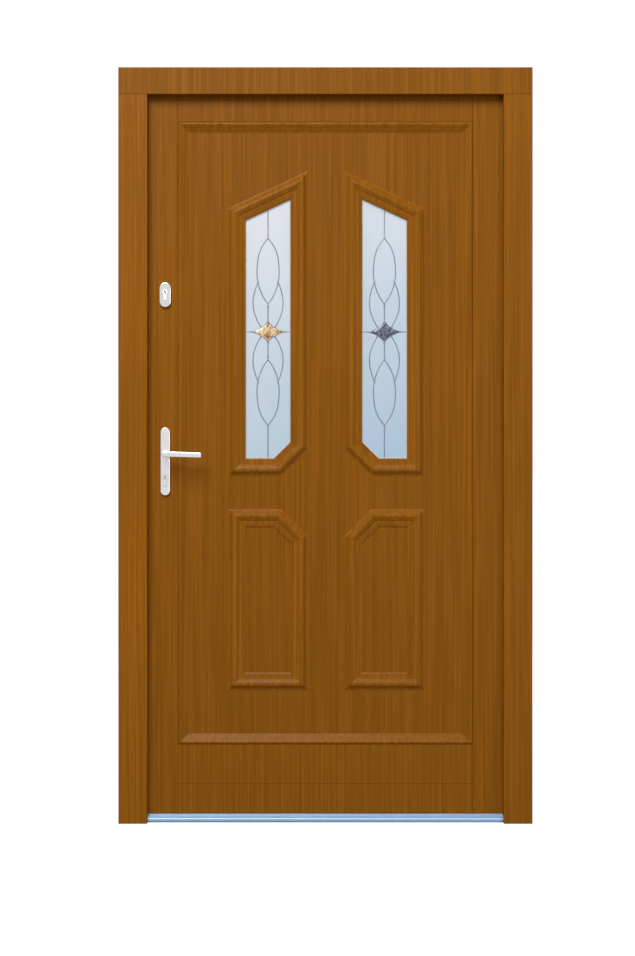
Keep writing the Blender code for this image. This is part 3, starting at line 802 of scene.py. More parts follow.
    @staticmethod
    def soften(piece: bpy.types.Object, width: float, segments: int = 2, angle: float = 40) -> None:
        """Rounds a piece's sharp edges.

        Args:
            piece: The piece.
            width: How far the rounding reaches from each edge.
            segments: How many steps it has.
            angle: Edges sharper than this, in degrees, are rounded.
        """
        Bench.modified(
            piece,
            "BEVEL",
            width=width,
            segments=segments,
            limit_method="ANGLE",
            angle_limit=math.radians(angle),
        )

    @staticmethod
    def joined(name: str, pieces: Sequence[bpy.types.Object]) -> bpy.types.Object:
        """Makes one object of several.

        Args:
            name: The new object's name.
            pieces: The objects, at least one.

        Returns:
            The joined object.
        """
        Bench.take(*pieces)
        if len(pieces) > 1:
            bpy.ops.object.join()
        piece = bpy.context.object
        piece.name = piece.data.name = name
        return piece


def hand_over(
    piece: bpy.types.Object,
    body: Body,
    material: bpy.types.Material,
    nodes: Sequence[str] = (),
    smooth: float = 32,
    crisp: bool = False,
) -> bpy.types.Object:
    """Dresses a finished piece and hangs it on its body.

    Args:
        piece: The piece, in its place.
        body: The body that carries it.
        material: Its material.
        nodes: Nodes of the frame that it stands for.
        smooth: Edges flatter than this, in degrees, are shaded smooth.
        crisp: Whether its broad faces are shaded flat up to their rounded rims.

    Returns:
        The piece.
    """
    Bench.take(piece)
    bpy.ops.object.transform_apply(location=True, rotation=True, scale=True)
    bpy.ops.object.shade_smooth_by_angle(angle=math.radians(smooth))
    if crisp:
        Bench.modified(piece, "WEIGHTED_NORMAL", weight=100, keep_sharp=True)
    piece.data.materials.clear()
    piece.data.materials.append(material)
    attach(piece, body.value)
    if nodes:
        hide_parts(*nodes)
    LOG.info("%s rides on the %s, %d faces", piece.name, body.value, len(piece.data.polygons))
    return piece


def dress(nodes: Sequence[str], material: bpy.types.Material) -> None:
    """Gives nodes of the frame a finer material.

    Args:
        nodes: The nodes' names.
        material: Their material.
    """
    for node in nodes:
        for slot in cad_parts[node].material_slots:
            slot.material = material
        LOG.info("%s keeps its form and wears %s", node, material.name)


def arc(centre: Point, radius: Point, start: float, end: float, steps: int) -> list[Point]:
    """Gives points round an arc of a circle or ellipse.

    Args:
        centre: The middle.
        radius: The radius across and up.
        start: First angle, in degrees.
        end: Last angle, in degrees.
        steps: How many steps between them.

    Returns:
        The points.
    """
    angles = [math.radians(start + (end - start) * k / steps) for k in range(steps + 1)]
    return [
        (centre[0] + radius[0] * math.cos(a), centre[1] + radius[1] * math.sin(a)) for a in angles
    ]


def eased(points: Sequence[Point], radius: float, steps: int = 3) -> list[Point]:
    """Rounds the inner corners of an open run of points.

    Args:
        points: The run.
        radius: How far a rounding may reach from its corner.
        steps: How many steps each rounding has.

    Returns:
        The rounded run.
    """
    run = [Vector(p) for p in points]
    rounded = [run[0]]
    for before, corner, after in zip(run, run[1:], run[2:]):
        first = min(radius, 0.45 * (corner - before).length)
        last = min(radius, 0.45 * (after - corner).length)
        start = corner + (before - corner).normalized() * first
        end = corner + (after - corner).normalized() * last
        for k in range(steps + 1):
            t = k / steps
            rounded.append(start * (1 - t) ** 2 + corner * 2 * t * (1 - t) + end * t**2)
    return [tuple(p) for p in rounded + [run[-1]]]


def upright(points: Sequence[Point], depth: float) -> list[Vector]:
    """Places (x, z) points in the upright plane at one depth.

    Args:
        points: The points.
        depth: The plane's place along Y.

    Returns:
        The placed points.
    """
    return [Vector((x, depth, z)) for x, z in points]


# Mouldings

# The lengths of a window's and a lower field's surround, in the order of their corners
EDGES = {
    "window": ("inner", "corner", "sill", "outer", "top"),
    "lower": ("inner", "corner", "top", "outer", "sill"),
}


@dataclass(frozen=True)
class MitredRing:
    """Lengths of moulding that meet in mitres round a convex outline.

    The corners are (x, z) points, and the level is the plane that the moulding lies on.
    """

    corners: tuple[Point, ...]
    level: float

    def normals(self) -> list[Vector]:
        """Finds each edge's direction away from the opening.

        Returns:
            One unit vector (x, z) for each edge.
        """
        points = [Vector(c) for c in self.corners]
        middle = sum(points, Vector((0, 0))) / len(points)
        found = []
        for start, end in zip(points, points[1:] + points[:1]):
            run = (end - start).normalized()
            normal = Vector((run.y, -run.x))
            found.append(normal if normal.dot(start - middle) > 0 else -normal)
        return found

    def length(self, name: str, i: int, profile: Sequence[Point]) -> bpy.types.Object:
        """Makes one length: its profile is drawn, run along the edge and mitred.

        Args:
            name: The piece's name.
            i: Which edge it follows, from its corner to the next.
            profile: Its section, as distance from the opening and height over the level.

        Returns:
            The length.
        """
        normals = self.normals()
        ahead = (i + 1) % len(self.corners)
        start, end = Vector(self.corners[i]), Vector(self.corners[ahead])
        run = (end - start).normalized()
        along = Vector((run.x, 0, run.y))
        across = Vector((normals[i].x, 0, normals[i].y))
        spare = 2 * max(abs(distance) for distance, _ in profile)
        origin = Vector((start.x, self.level, start.y)) - along * spare
        section = [origin + across * d - Vector((0, h, 0)) for d, h in profile]
        piece = Bench.slab(name, section, along * ((end - start).length + 2 * spare))
        for corner, neighbour, way in ((start, i - 1, -1), (end, ahead, 1)):
            mitre = normals[i] + normals[neighbour]
            square = Vector((mitre.y, 0, -mitre.x)).normalized()
            square *= way if square.dot(along) > 0 else -way
            point = Vector((corner.x, self.level, corner.y)) - square * SEAM / 2
            Bench.trim(piece, point, square)
        return piece


@dataclass(frozen=True)
class SurroundMoulding:
    """The moulding round a window or a lower field: a sight edge, a flat band, a fillet and a roll."""

    oak: bpy.types.Material
    band_width: float = 0.018
    band_height: float = 0.0045
    roll_width: float = 0.033
    roll_height: float = 0.0105
    corner_cut: float = 0.046
    top_fall: float = 0.059
    glass_hold: float = 0.0115
    easing: float = 0.0009

    @property
    def width(self) -> float:
        """The moulding's whole width."""
        return self.band_width + self.roll_width

    def section(self, leg: float) -> list[Point]:
        """Draws the section.

        Args:
            leg: How far the sight edge reaches behind the panel's face, down to the glass.

        Returns:
            The closed outline, as distance from the opening and height over the panel.
        """
        band, low, roll, tall = self.band_width, self.band_height, self.roll_width, self.roll_height
        rise = tall - low
        run = eased(
            [
                (0, 0.28 * low),
                (0.33 * band, 0.95 * low),
                (0.41 * band, 0.62 * low),
                (0.49 * band, 0.97 * low),
                (0.98 * band, low),
                (band + 0.05 * roll, low + 0.32 * rise),
                (band + 0.18 * roll, low + 0.60 * rise),
                (band + 0.29 * roll, low + 0.90 * rise),
                (band + 0.38 * roll, tall),
                (band + 0.53 * roll, 0.93 * tall),
                (band + 0.57 * roll, 0.86 * tall),
                (band + 0.60 * roll, 0.77 * tall),
                (band + 0.69 * roll, 0.53 * tall),
                (band + 0.78 * roll, 0.31 * tall),
                (band + 0.87 * roll, 0.13 * tall),
                (band + 0.94 * roll, 0.05 * tall),
                (self.width, 0.03 * tall),
            ],
            self.easing,
        )
        run.append((self.width, SEAM))
        if leg:
            return run + [(self.glass_hold, SEAM), (self.glass_hold, SEAM - leg), (0, SEAM - leg)]
        return run + [(0, SEAM)]

    def opening(self, kind: str, side: Side) -> tuple[Point, ...]:
        """Finds the five corners that one surround goes round.

        Args:
            kind: window or lower.
            side: Which of the two.

        Returns:
            The corners, from the inner edge's first.
        """
        boxes = [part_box(f"{kind}_moulding_{side.word}_{edge}") for edge in EDGES[kind]]
        reach = sorted(corner.x for pair in boxes for corner in pair)
        ends = (reach[0] + self.width, reach[-1] - self.width)
        inner, outer = ends if side is Side.RIGHT else ends[::-1]
        sill = min(low.z for low, _ in boxes) + self.width
        cut = self.corner_cut
        if kind == "window":
            outer_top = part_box(f"glass_pane_{side.word}")[1].z - self.pane_margin(outer - inner)
            return (
                (inner, outer_top + self.top_fall),
                (inner, sill + cut),
                (inner + side.value * cut, sill),
                (outer, sill),
                (outer, outer_top),
            )
        top = max(high.z for _, high in boxes) - self.width
        return (
            (inner, sill),
            (inner, top - cut),
            (inner + side.value * cut, top),
            (outer, top),
            (outer, sill),
        )

    def pane_margin(self, across: float) -> float:
        """Works out how far the pane's peak stands over the opening's lower top corner.

        Args:
            across: The opening's width, with its sign.

        Returns:
            The height between them.
        """
        across = abs(across)
        slope = self.top_fall / across
        return self.top_fall + self.glass_hold * (slope + math.hypot(1, slope))

    def build(self) -> None:
        """Makes all lengths round the windows and the lower fields."""
        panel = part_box("door_panel")[0].y
        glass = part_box("glass_pane_left")[0].y
        for kind, leg in (("window", glass - panel), ("lower", 0.0)):
            for side in Side:
                ring = MitredRing(self.opening(kind, side), panel)
                for i, edge in enumerate(EDGES[kind]):
                    node = f"{kind}_moulding_{side.word}_{edge}"
                    piece = ring.length(f"{node}_run", i, self.section(leg))
                    hand_over(piece, Body.LEAF, self.oak, [node])


@dataclass(frozen=True)
class PanelBead:
    """The moulded bead between the leaf's stiles and rails and its panel."""

    oak: bpy.types.Material
    easing: float = 0.0010

    def build(self) -> None:
        """Makes the four lengths."""
        boxes = {edge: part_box(f"panel_bead_{edge}") for edge in ("bottom", "right", "top", "left")}
        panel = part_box("door_panel")[0].y
        left, right = boxes["left"][1].x, boxes["right"][0].x
        sill, top = boxes["bottom"][1].z, boxes["top"][0].z
        width = sill - boxes["bottom"][0].z
        height = panel - boxes["bottom"][0].y
        ring = MitredRing(((left, sill), (right, sill), (right, top), (left, top)), panel)
        for i, edge in enumerate(boxes):
            node = f"panel_bead_{edge}"
            piece = ring.length(f"{node}_run", i, self.section(width, height))
            hand_over(piece, Body.LEAF, self.oak, [node])

    def section(self, width: float, height: float) -> list[Point]:
        """Draws the section: a slope with two fine steps, a lip and a rounded outer edge.

        Args:
            width: The bead's width.
            height: How far it stands over the panel.

        Returns:
            The closed outline, as distance from the panel's sight edge and height.
        """
        run = eased(
            [
                (0, 0.03 * height),
                (0.22 * width, 0.28 * height),
                (0.245 * width, 0.35 * height),
                (0.50 * width, 0.64 * height),
                (0.525 * width, 0.71 * height),
                (0.72 * width, 0.95 * height),
                (0.78 * width, height),
                (0.88 * width, 0.95 * height),
                (0.96 * width, 0.80 * height),
                (width, 0.66 * height),
            ],
            self.easing,
        )
        return [(0, SEAM), *run, (width, SEAM)]


# Windows


@dataclass(frozen=True)
class LeadedWindow:
    """One window: its seal, its leading and its jewel. Sizes count from the middle of the star."""

    side: Side
    corners: tuple[Point, ...]
    glass: bpy.types.Material
    seal: bpy.types.Material
    lead: bpy.types.Material
    jewel: bpy.types.Material
    jewel_slot: Slot
    star_half_width: float = 0.045
    star_half_height: float = 0.029
    line: float = 0.0036
    loop: float = 0.0033
    rim: float = 0.0028
    flatness: float = 0.62
    strand_steps: int = 9
    solder: float = 0.0029
    net_gap: float = 0.0005
    seal_width: float = 0.0022
    seal_height: float = 0.0014
    seal_foot: float = 0.0001
    seal_gap: float = 0.0002
    jewel_share: float = 0.96
    jewel_edge: float = 0.0012
    jewel_facet: float = 0.0052
    jewel_table: float = 0.0016
    jewel_steps: int = 7
    jewel_pull: Point = (0.26, 0.36)

    @property
    def face(self) -> float:
        """The depth of the glass's front."""
        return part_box(f"glass_pane_{self.side.word}")[0].y

    @property
    def middle(self) -> Point:
        """The middle of the star, as (x, z)."""
        low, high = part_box(f"jewel_{self.side.word}")
        return ((low.x + high.x) / 2, (low.z + high.z) / 2)

    def build(self) -> None:
        """Makes the pieces and dresses the pane."""
        dress([f"glass_pane_{self.side.word}"], self.glass)
        self.build_seal()
        self.build_leading()
        self.build_jewel()

    def build_seal(self) -> None:
        """Makes the thin wedge of sealant in the corner between glass and moulding."""
        ring = MitredRing(self.corners, self.face - SEAM)
        section = [
            (-self.seal_width, self.seal_foot),
            (-self.seal_gap, self.seal_height),
            (-self.seal_gap, 0.0),
            (-self.seal_width, 0.0),
        ]
        runs = [
            ring.length(f"glazing_seal_{self.side.word}_{i}", i, section)
            for i in range(len(self.corners))
        ]
        piece = Bench.joined(f"glazing_seal_{self.side.word}", runs)
        hand_over(piece, Body.LEAF, self.seal)

    def strand(self, breadth: float, points: Sequence[Point]) -> bpy.types.Object:
        """Makes one flattened lead strand along a smooth curve.

        Args:
            breadth: Its width.
            points: Its way, right of and above the middle of the star.

        Returns:
            The strand.
        """
        Bench.take()
        bpy.ops.curve.primitive_bezier_curve_add()
        curve = bpy.context.object
        knots = curve.data.splines[0].bezier_points
        knots.add(len(points) - len(knots))
        for knot, (x, z) in zip(knots, points):
            knot.handle_left_type = knot.handle_right_type = "AUTO"
            knot.co = (x, 0, z)
        curve.data.resolution_u = self.strand_steps
        curve.data.bevel_depth = breadth / 2
        curve.data.bevel_resolution = 2
        curve.data.use_fill_caps = True
        bpy.ops.object.convert(target="MESH")
        piece = bpy.context.object
        piece.scale.y = self.flatness
        piece.location = (self.middle[0], self.face, self.middle[1])
        Bench.named("strand")
        with Bench.editing(piece):
            bpy.ops.mesh.remove_doubles(threshold=0.000005)
            bpy.ops.mesh.normals_make_consistent(inside=False)
        return piece

    def blob(self, x: float, z: float, radius: float) -> bpy.types.Object:
        """Makes one drop of solder.

        Args:
            x: Its place right of the star's middle.
            z: Its place above it.
            radius: Its radius.

        Returns:
            The drop.
        """
        Bench.take()
        bpy.ops.mesh.primitive_uv_sphere_add(
            segments=16,
            ring_count=10,
            radius=radius,
            location=(self.middle[0] + x, self.face, self.middle[1] + z),
            scale=(1, 0.7, 1),
        )
        return Bench.named("solder")

    def ways(self) -> list[tuple[float, list[Point]]]:
        """Lists the strands.

        Returns:
            Each strand's breadth, and its way right of and above the middle of the star.
        """
        width, height = self.star_half_width, self.star_half_height
        loop = [
            (-0.0006, 9.1 * height),
            (0.46 * width, 7.95 * height),
            (0.67 * width, 6.4 * height),
            (0.62 * width, 4.75 * height),
            (0.31 * width, 3.4 * height),
            (-0.0006, 2.65 * height),
        ]
        bow = [
            (0.60 * width, 4.95 * height),
            (0.86 * width, 3.7 * height),
            (0.93 * width, 2.55 * height),
            (0.77 * width, 1.45 * height),
            (0.44 * width, 0.46 * height),
        ]
        star = [
            (-0.03 * width, 1.04 * height),
            (0.38 * width, 0.43 * height),
            (1.03 * width, -0.03 * height),
        ]
        ways = [
            (breadth, [(across * x, up * z) for x, z in way])
            for breadth, way in ((self.loop, loop), (self.loop, bow), (self.rim, star))
            for across in (-1, 1)
            for up in (-1, 1)
        ]
        reach = self.corners[0][1] - self.corners[2][1]
        for up in (-1, 1):
            ways.append((self.line, [(0, up * 0.97 * height), (0, up * 2.75 * height)]))
            ways.append((self.line, [(0, up * 8.95 * height), (0, up * reach)]))
            ways.append((self.line, [(up * 0.93 * width, 0), (up * 3 * width, 0)]))
        return ways

    def build_leading(self) -> None:
        """Makes the net of strands and solder, trimmed to the seal and flat on the glass."""
        width, height = self.star_half_width, self.star_half_height
        parts = [self.strand(breadth, way) for breadth, way in self.ways()]
        for up in (-1, 1):
            parts.append(self.blob(0, up * 2.42 * height, 1.05 * self.solder))
            parts.append(self.blob(0, up * 9.0 * height, 0.95 * self.solder))
            parts.append(self.blob(0, up * 1.02 * height, self.solder))
            parts.append(self.blob(up * 1.0 * width, 0, 0.9 * self.solder))
            for across in (-1, 1):
                parts.append(self.blob(across * 0.615 * width, up * 4.82 * height, 0.9 * self.solder))
                parts.append(self.blob(across * 0.45 * width, up * 0.48 * height, 0.9 * self.solder))
        net = bpy.data.collections.new(f"leading_{self.side.word}")
        bpy.context.scene.collection.children.link(net)
        for k, part in enumerate(parts[1:], start=1):
            part.location.y = k * 0.00001
            net.objects.link(part)
        piece = parts[0]
        Bench.modified(
            piece,
            "BOOLEAN",
            operation="UNION",
            operand_type="COLLECTION",
            collection=net,
            solver="EXACT",
        )
        for part in parts[1:]:
            bpy.data.objects.remove(part, do_unlink=True)
        bpy.data.collections.remove(net)
        piece = Bench.joined(f"lead_net_{self.side.word}", [piece])
        Bench.trim(piece, Vector((0, self.face - SEAM, 0)), Vector((0, 1, 0)))
        edge = MitredRing(self.corners, self.face)
        for corner, normal in zip(self.corners, edge.normals()):
            away = Vector((normal.x, 0, normal.y))
            Bench.trim(piece, Vector((corner[0], 0, corner[1])) - away * self.net_gap, away)
        hand_over(piece, Body.LEAF, self.lead, [f"lead_came_{self.side.word}"], smooth=50)

    def build_jewel(self) -> None:
        """Makes the cut star: an upright edge, sloped facets and a flat table."""
        width, height = self.star_half_width, self.star_half_height
        pull = (self.jewel_pull[0] * width, self.jewel_pull[1] * height)
        quarter = []
        for k in range(self.jewel_steps):
            t = k / self.jewel_steps
            x = 2 * t * (1 - t) * pull[0] + t**2 * width
            z = (1 - t) ** 2 * height + 2 * t * (1 - t) * pull[1]
            quarter.append((self.jewel_share * x, self.jewel_share * z))
        right = quarter + [(self.jewel_share * width, 0)] + [(x, -z) for x, z in quarter[:0:-1]]
        loop = right + [(-x, -z) for x, z in right]
        face = self.face - SEAM
        outline = upright([(self.middle[0] + x, self.middle[1] + z) for x, z in loop], face)
        piece = Bench.slab(f"jewel_star_{self.side.word}", outline, Vector((0, -self.jewel_edge, 0)))
        with Bench.editing(piece):
            Bench.pick_faces(piece, lambda middle, normal: normal.y < -0.9)
            bpy.ops.mesh.inset(thickness=self.jewel_facet, depth=self.jewel_table)
        node = f"jewel_{self.side.word}"
        hand_over(piece, Body.LEAF, self.jewel, [node], smooth=8)


# Lock furniture


@dataclass(frozen=True)
class LeverShape:
    """A lever's sizes. Places along it count from its axle."""

    thickness: float = 0.012
    tall: float = 0.0156
    start: float = -0.0042
    cuts: tuple[float, float, float, float] = (0.0195, 0.0265, 0.0958, 0.0976)
    step_depth: float = 0.0026
    groove_depth: float = 0.0010
    rounding: float = 0.0036
    tilt: float = 1.8
    drop: float = 0.0006
    neck_radius: float = 0.0072
    neck_sink: float = 0.005
    collar_radius: float = 0.0096
    collar_height: float = 0.0035
    collar_edge: float = 0.0010
    socket_play: float = 0.0003
    socket_depth: float = 0.014


@dataclass(frozen=True)
class LockFurniture:
    """Plates, cylinders and levers on both faces of the lock stile."""

    silver: bpy.types.Material
    bright: bpy.types.Material
    nickel: bpy.types.Material
    steel: bpy.types.Material
    dark: bpy.types.Material
    lever: LeverShape = LeverShape()
    rim: float = 0.0030
    rim_steps: int = 5
    rim_profile: float = 0.62
    arc_steps: int = 24
    stem: float = 0.010
    play: float = 0.0005
    hole_length: float = 0.05
    bore_radius: float = 0.007
    bore_length: float = 0.03
    key_slot: tuple[float, float, float] = (0.0026, 0.0100, 0.030)
    ward_share: float = 0.9
    ward_sink: float = 0.0012
    groove_depth: float = 0.0006
    plug_radius: float = 0.0064
    plug_gap: float = 0.0006
    plug_depths: Point = (0.001, 0.0001)
    plug_edge: float = 0.0002
    pin_drop: float = 0.021
    pin_radius: float = 0.0016
    pin_depth: float = 0.0015
    screw_radius: float = 0.0030
    screw_gap: float = 0.0002
    screw_lift: float = 0.004
    screw_sink: float = 0.0012
    screw_depths: Point = (0.0020, 0.0004)
    driver_radius: float = 0.0013
    driver_depth: float = 0.0015
    edge: float = 0.0003

    def build(self) -> None:
        """Makes all pieces of the furniture."""
        for face in Face:
            self.build_plate("handle_plate", face, "lock_cylinder_main", screw=True)
            self.build_plate("upper_escutcheon", face, "lock_cylinder_upper", screw=False)
            self.build_lever(face)
        self.build_cylinder("lock_cylinder_main", 0)
        self.build_cylinder("lock_cylinder_upper", -25)
        dress(["spindle"], self.steel)

    def lock_outline(self, node: str, play: float) -> list[Point]:
        """Draws a profile cylinder's outline: a round head over a narrow stem.

        Args:
            node: The cylinder's node.
            play: How far the outline stands off.

        Returns:
            The outline as (x, z) points.
        """
        low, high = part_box(node)
        radius = (high.x - low.x) / 2
        middle = ((low.x + high.x) / 2, high.z - radius)
        half = self.stem / 2 + play
        meet = math.degrees(math.asin(half / (radius + play)))
        head = arc(middle, (radius + play,) * 2, -90 + meet, 270 - meet, 2 * self.arc_steps)
        foot = arc((middle[0], low.z + half - play), (half, half), 180, 360, self.arc_steps // 2)
        return head + foot

    def build_plate(self, kind: str, face: Face, cylinder: str, screw: bool) -> None:
        """Makes a plate with round ends and a rounded rim, cut out for its cylinder.

        Args:
            kind: First part of the plate's node name.
            face: The leaf's face that it lies on.
            cylinder: The node of the cylinder that passes through.
            screw: Whether a fixing screw shows at its foot.
        """
        node = f"{kind}_{face.word}"
        low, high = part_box(node)
        radius = (high.x - low.x) / 2
        x = (low.x + high.x) / 2
        outline = arc((x, high.z - radius), (radius, radius), 0, 180, self.arc_steps)
        outline += arc((x, low.z + radius), (radius, radius), 180, 360, self.arc_steps)
        back, front = (high.y, low.y) if face is Face.OUTER else (low.y, high.y)
        out = Vector((0, face.value, 0))
        piece = Bench.slab(f"{node}_shell", upright(outline, back), Vector((0, front - back, 0)))
        with Bench.editing(piece):
            Bench.pick_faces(piece, lambda middle, normal: normal.dot(out) > 0.9)
            bpy.ops.mesh.bevel(
                offset=self.rim, segments=self.rim_steps, profile=self.rim_profile, affect="EDGES"
            )
        cut = upright(self.lock_outline(cylinder, self.play), back)
        hole = Bench.slab("hole", cut, out * self.hole_length)
        hole.location.y = -out.y * OVERSHOOT
        Bench.combine(piece, hole, "DIFFERENCE")
        if kind == "handle_plate":
            spindle_low, spindle_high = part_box("spindle")
            axle = (spindle_low + spindle_high) / 2
            start = Vector((axle.x, back, axle.z))
            end = start + out * self.bore_length
            bore = Bench.rod("bore", start - out * OVERSHOOT, end, self.bore_radius)
            Bench.combine(piece, bore, "DIFFERENCE")
        if screw:
            centre = Vector((x, front, low.z + radius + self.screw_lift))
            above = centre + out * OVERSHOOT
            sink = Bench.rod("sink", centre - out * self.screw_sink, above, self.screw_radius)
            Bench.combine(piece, sink, "DIFFERENCE")
            foot, top = (centre - out * depth for depth in self.screw_depths)
            head = Bench.rod("screw", foot, top, self.screw_radius - self.screw_gap)
            Bench.soften(head, self.edge)
            driver = Bench.rod("driver", centre - out * self.driver_depth, above, self.driver_radius, 6)
            Bench.combine(head, driver, "DIFFERENCE")
            piece = Bench.joined(f"{node}_shell", [head, piece])
        metal = self.silver if kind == "handle_plate" else self.bright
        hand_over(piece, Body.LEAF, metal, [node], crisp=True)

    def build_cylinder(self, node: str, turn: float) -> None:
        """Makes a profile cylinder with a plug, a keyway and a pin's end at both faces, and a dark block of
        painted shade deep in each keyway.

        Args:
            node: The cylinder's node.
            turn: How far the plug is turned, in degrees.
        """
        low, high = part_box(node)
        outline = upright(self.lock_outline(node, 0.0), low.y)
        piece = Bench.slab(f"{node}_body", outline, Vector((0, high.y - low.y, 0)))
        Bench.soften(piece, self.edge)
        x, z = (low.x + high.x) / 2, high.z - (high.x - low.x) / 2
        width, height, depth = self.key_slot
        shade_blocks = []
        for face, front in ((Face.OUTER, low.y), (Face.INNER, high.y)):
            out = Vector((0, face.value, 0))
            centre = Vector((x, front, z))
            above = centre + out * OVERSHOOT
            groove = Bench.rod("groove", centre - out * self.groove_depth, above, self.plug_radius)
            Bench.combine(piece, groove, "DIFFERENCE")
            foot, top = (centre - out * depth for depth in self.plug_depths)
            plug = Bench.rod("plug", foot, top, self.plug_radius - self.plug_gap)
            Bench.soften(plug, self.plug_edge)
            Bench.combine(piece, plug, "UNION")
            size = Vector((width, depth, height)) / 2
            slot = Bench.block("slot", -size, size)
            slot.rotation_euler.y = math.radians(turn)
            slot.location = centre
            Bench.combine(piece, slot, "DIFFERENCE")
            # The dark block sunk in the keyway is painted shade, standing for the shade deep in the slot.
            shade_block = Bench.block("shade_block", -size * self.ward_share, size * self.ward_share)
            shade_block.rotation_euler.y = math.radians(turn)
            shade_block.location = centre - out * (self.ward_share * depth / 2 + self.ward_sink)
            shade_blocks.append(shade_block)
            drill = centre - Vector((0, 0, self.pin_drop))
            bottom, above = drill - out * self.pin_depth, drill + out * OVERSHOOT
            pin = Bench.rod("pin", bottom, above, self.pin_radius, 20)
            Bench.combine(piece, pin, "DIFFERENCE")
        hand_over(piece, Body.LEAF, self.nickel, [node], crisp=True)
        keyway_shade_blocks = Bench.joined(f"{node}_keyways", shade_blocks)
        hand_over(keyway_shade_blocks, Body.LEAF, self.dark)

    def build_lever(self, face: Face) -> None:
        """Makes one lever: a neck with a collar, a low elbow and a long flat grip.

        Args:
            face: The leaf's face that it stands on.
        """
        node = f"lever_{face.word}"
        low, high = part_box(node)
        spindle_low, spindle_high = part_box("spindle")
        axle = (spindle_low + spindle_high) / 2
        back, front = (high.y, low.y) if face is Face.OUTER else (low.y, high.y)
        out = Vector((0, face.value, 0))
        shape = self.lever
        reach = high.x - axle.x
        near = front - face.value * shape.thickness
        grip = Bench.block(
            f"{node}_grip",
            (shape.start, min(near, front), -shape.tall / 2),
            (reach, max(near, front), shape.tall / 2),
        )
        elbow, _, groove_start, groove_end = shape.cuts
        with Bench.editing(grip):
            for place in shape.cuts:
                bpy.ops.mesh.select_all(action="SELECT")
                bpy.ops.mesh.bisect(plane_co=(place, 0, 0), plane_no=(1, 0, 0))
            Bench.pick_faces(grip, lambda middle, normal: normal.dot(out) > 0.9 and middle.x < elbow)
            bpy.ops.transform.translate(value=-out * shape.step_depth)
            Bench.pick_faces(
                grip,
                lambda middle, normal: normal.dot(out) > 0.9 and groove_start < middle.x < groove_end,
            )
            bpy.ops.transform.translate(value=-out * shape.groove_depth)
        Bench.soften(grip, shape.rounding, 6, 60)
        grip.rotation_euler.y = math.radians(shape.tilt)
        grip.location = (axle.x, 0, axle.z - shape.drop)
        Bench.take(grip)
        bpy.ops.object.transform_apply(location=True, rotation=True, scale=True)
        start = Vector((axle.x, back, axle.z))
        tip = Vector((axle.x, near + face.value * shape.neck_sink, axle.z))
        neck = Bench.rod("neck", start, tip, shape.neck_radius)
        collar = Bench.rod("collar", start, start + out * shape.collar_height, shape.collar_radius)
        Bench.soften(collar, shape.collar_edge)
        Bench.combine(neck, collar, "UNION")
        piece = Bench.combine(neck, grip, "UNION")
        half = (spindle_high.x - spindle_low.x) / 2 + shape.socket_play
        rear = start.y - out.y * OVERSHOOT
        deep = (start + out * shape.socket_depth).y
        socket = Bench.block(
            "socket",
            (axle.x - half, min(rear, deep), axle.z - half),
            (axle.x + half, max(rear, deep), axle.z + half),
        )
        Bench.combine(piece, socket, "DIFFERENCE")
        piece = Bench.joined(f"{node}_shaped", [piece])
        hand_over(piece, Body.HANDLE, self.silver, [node], crisp=True)


# Hinges and threshold


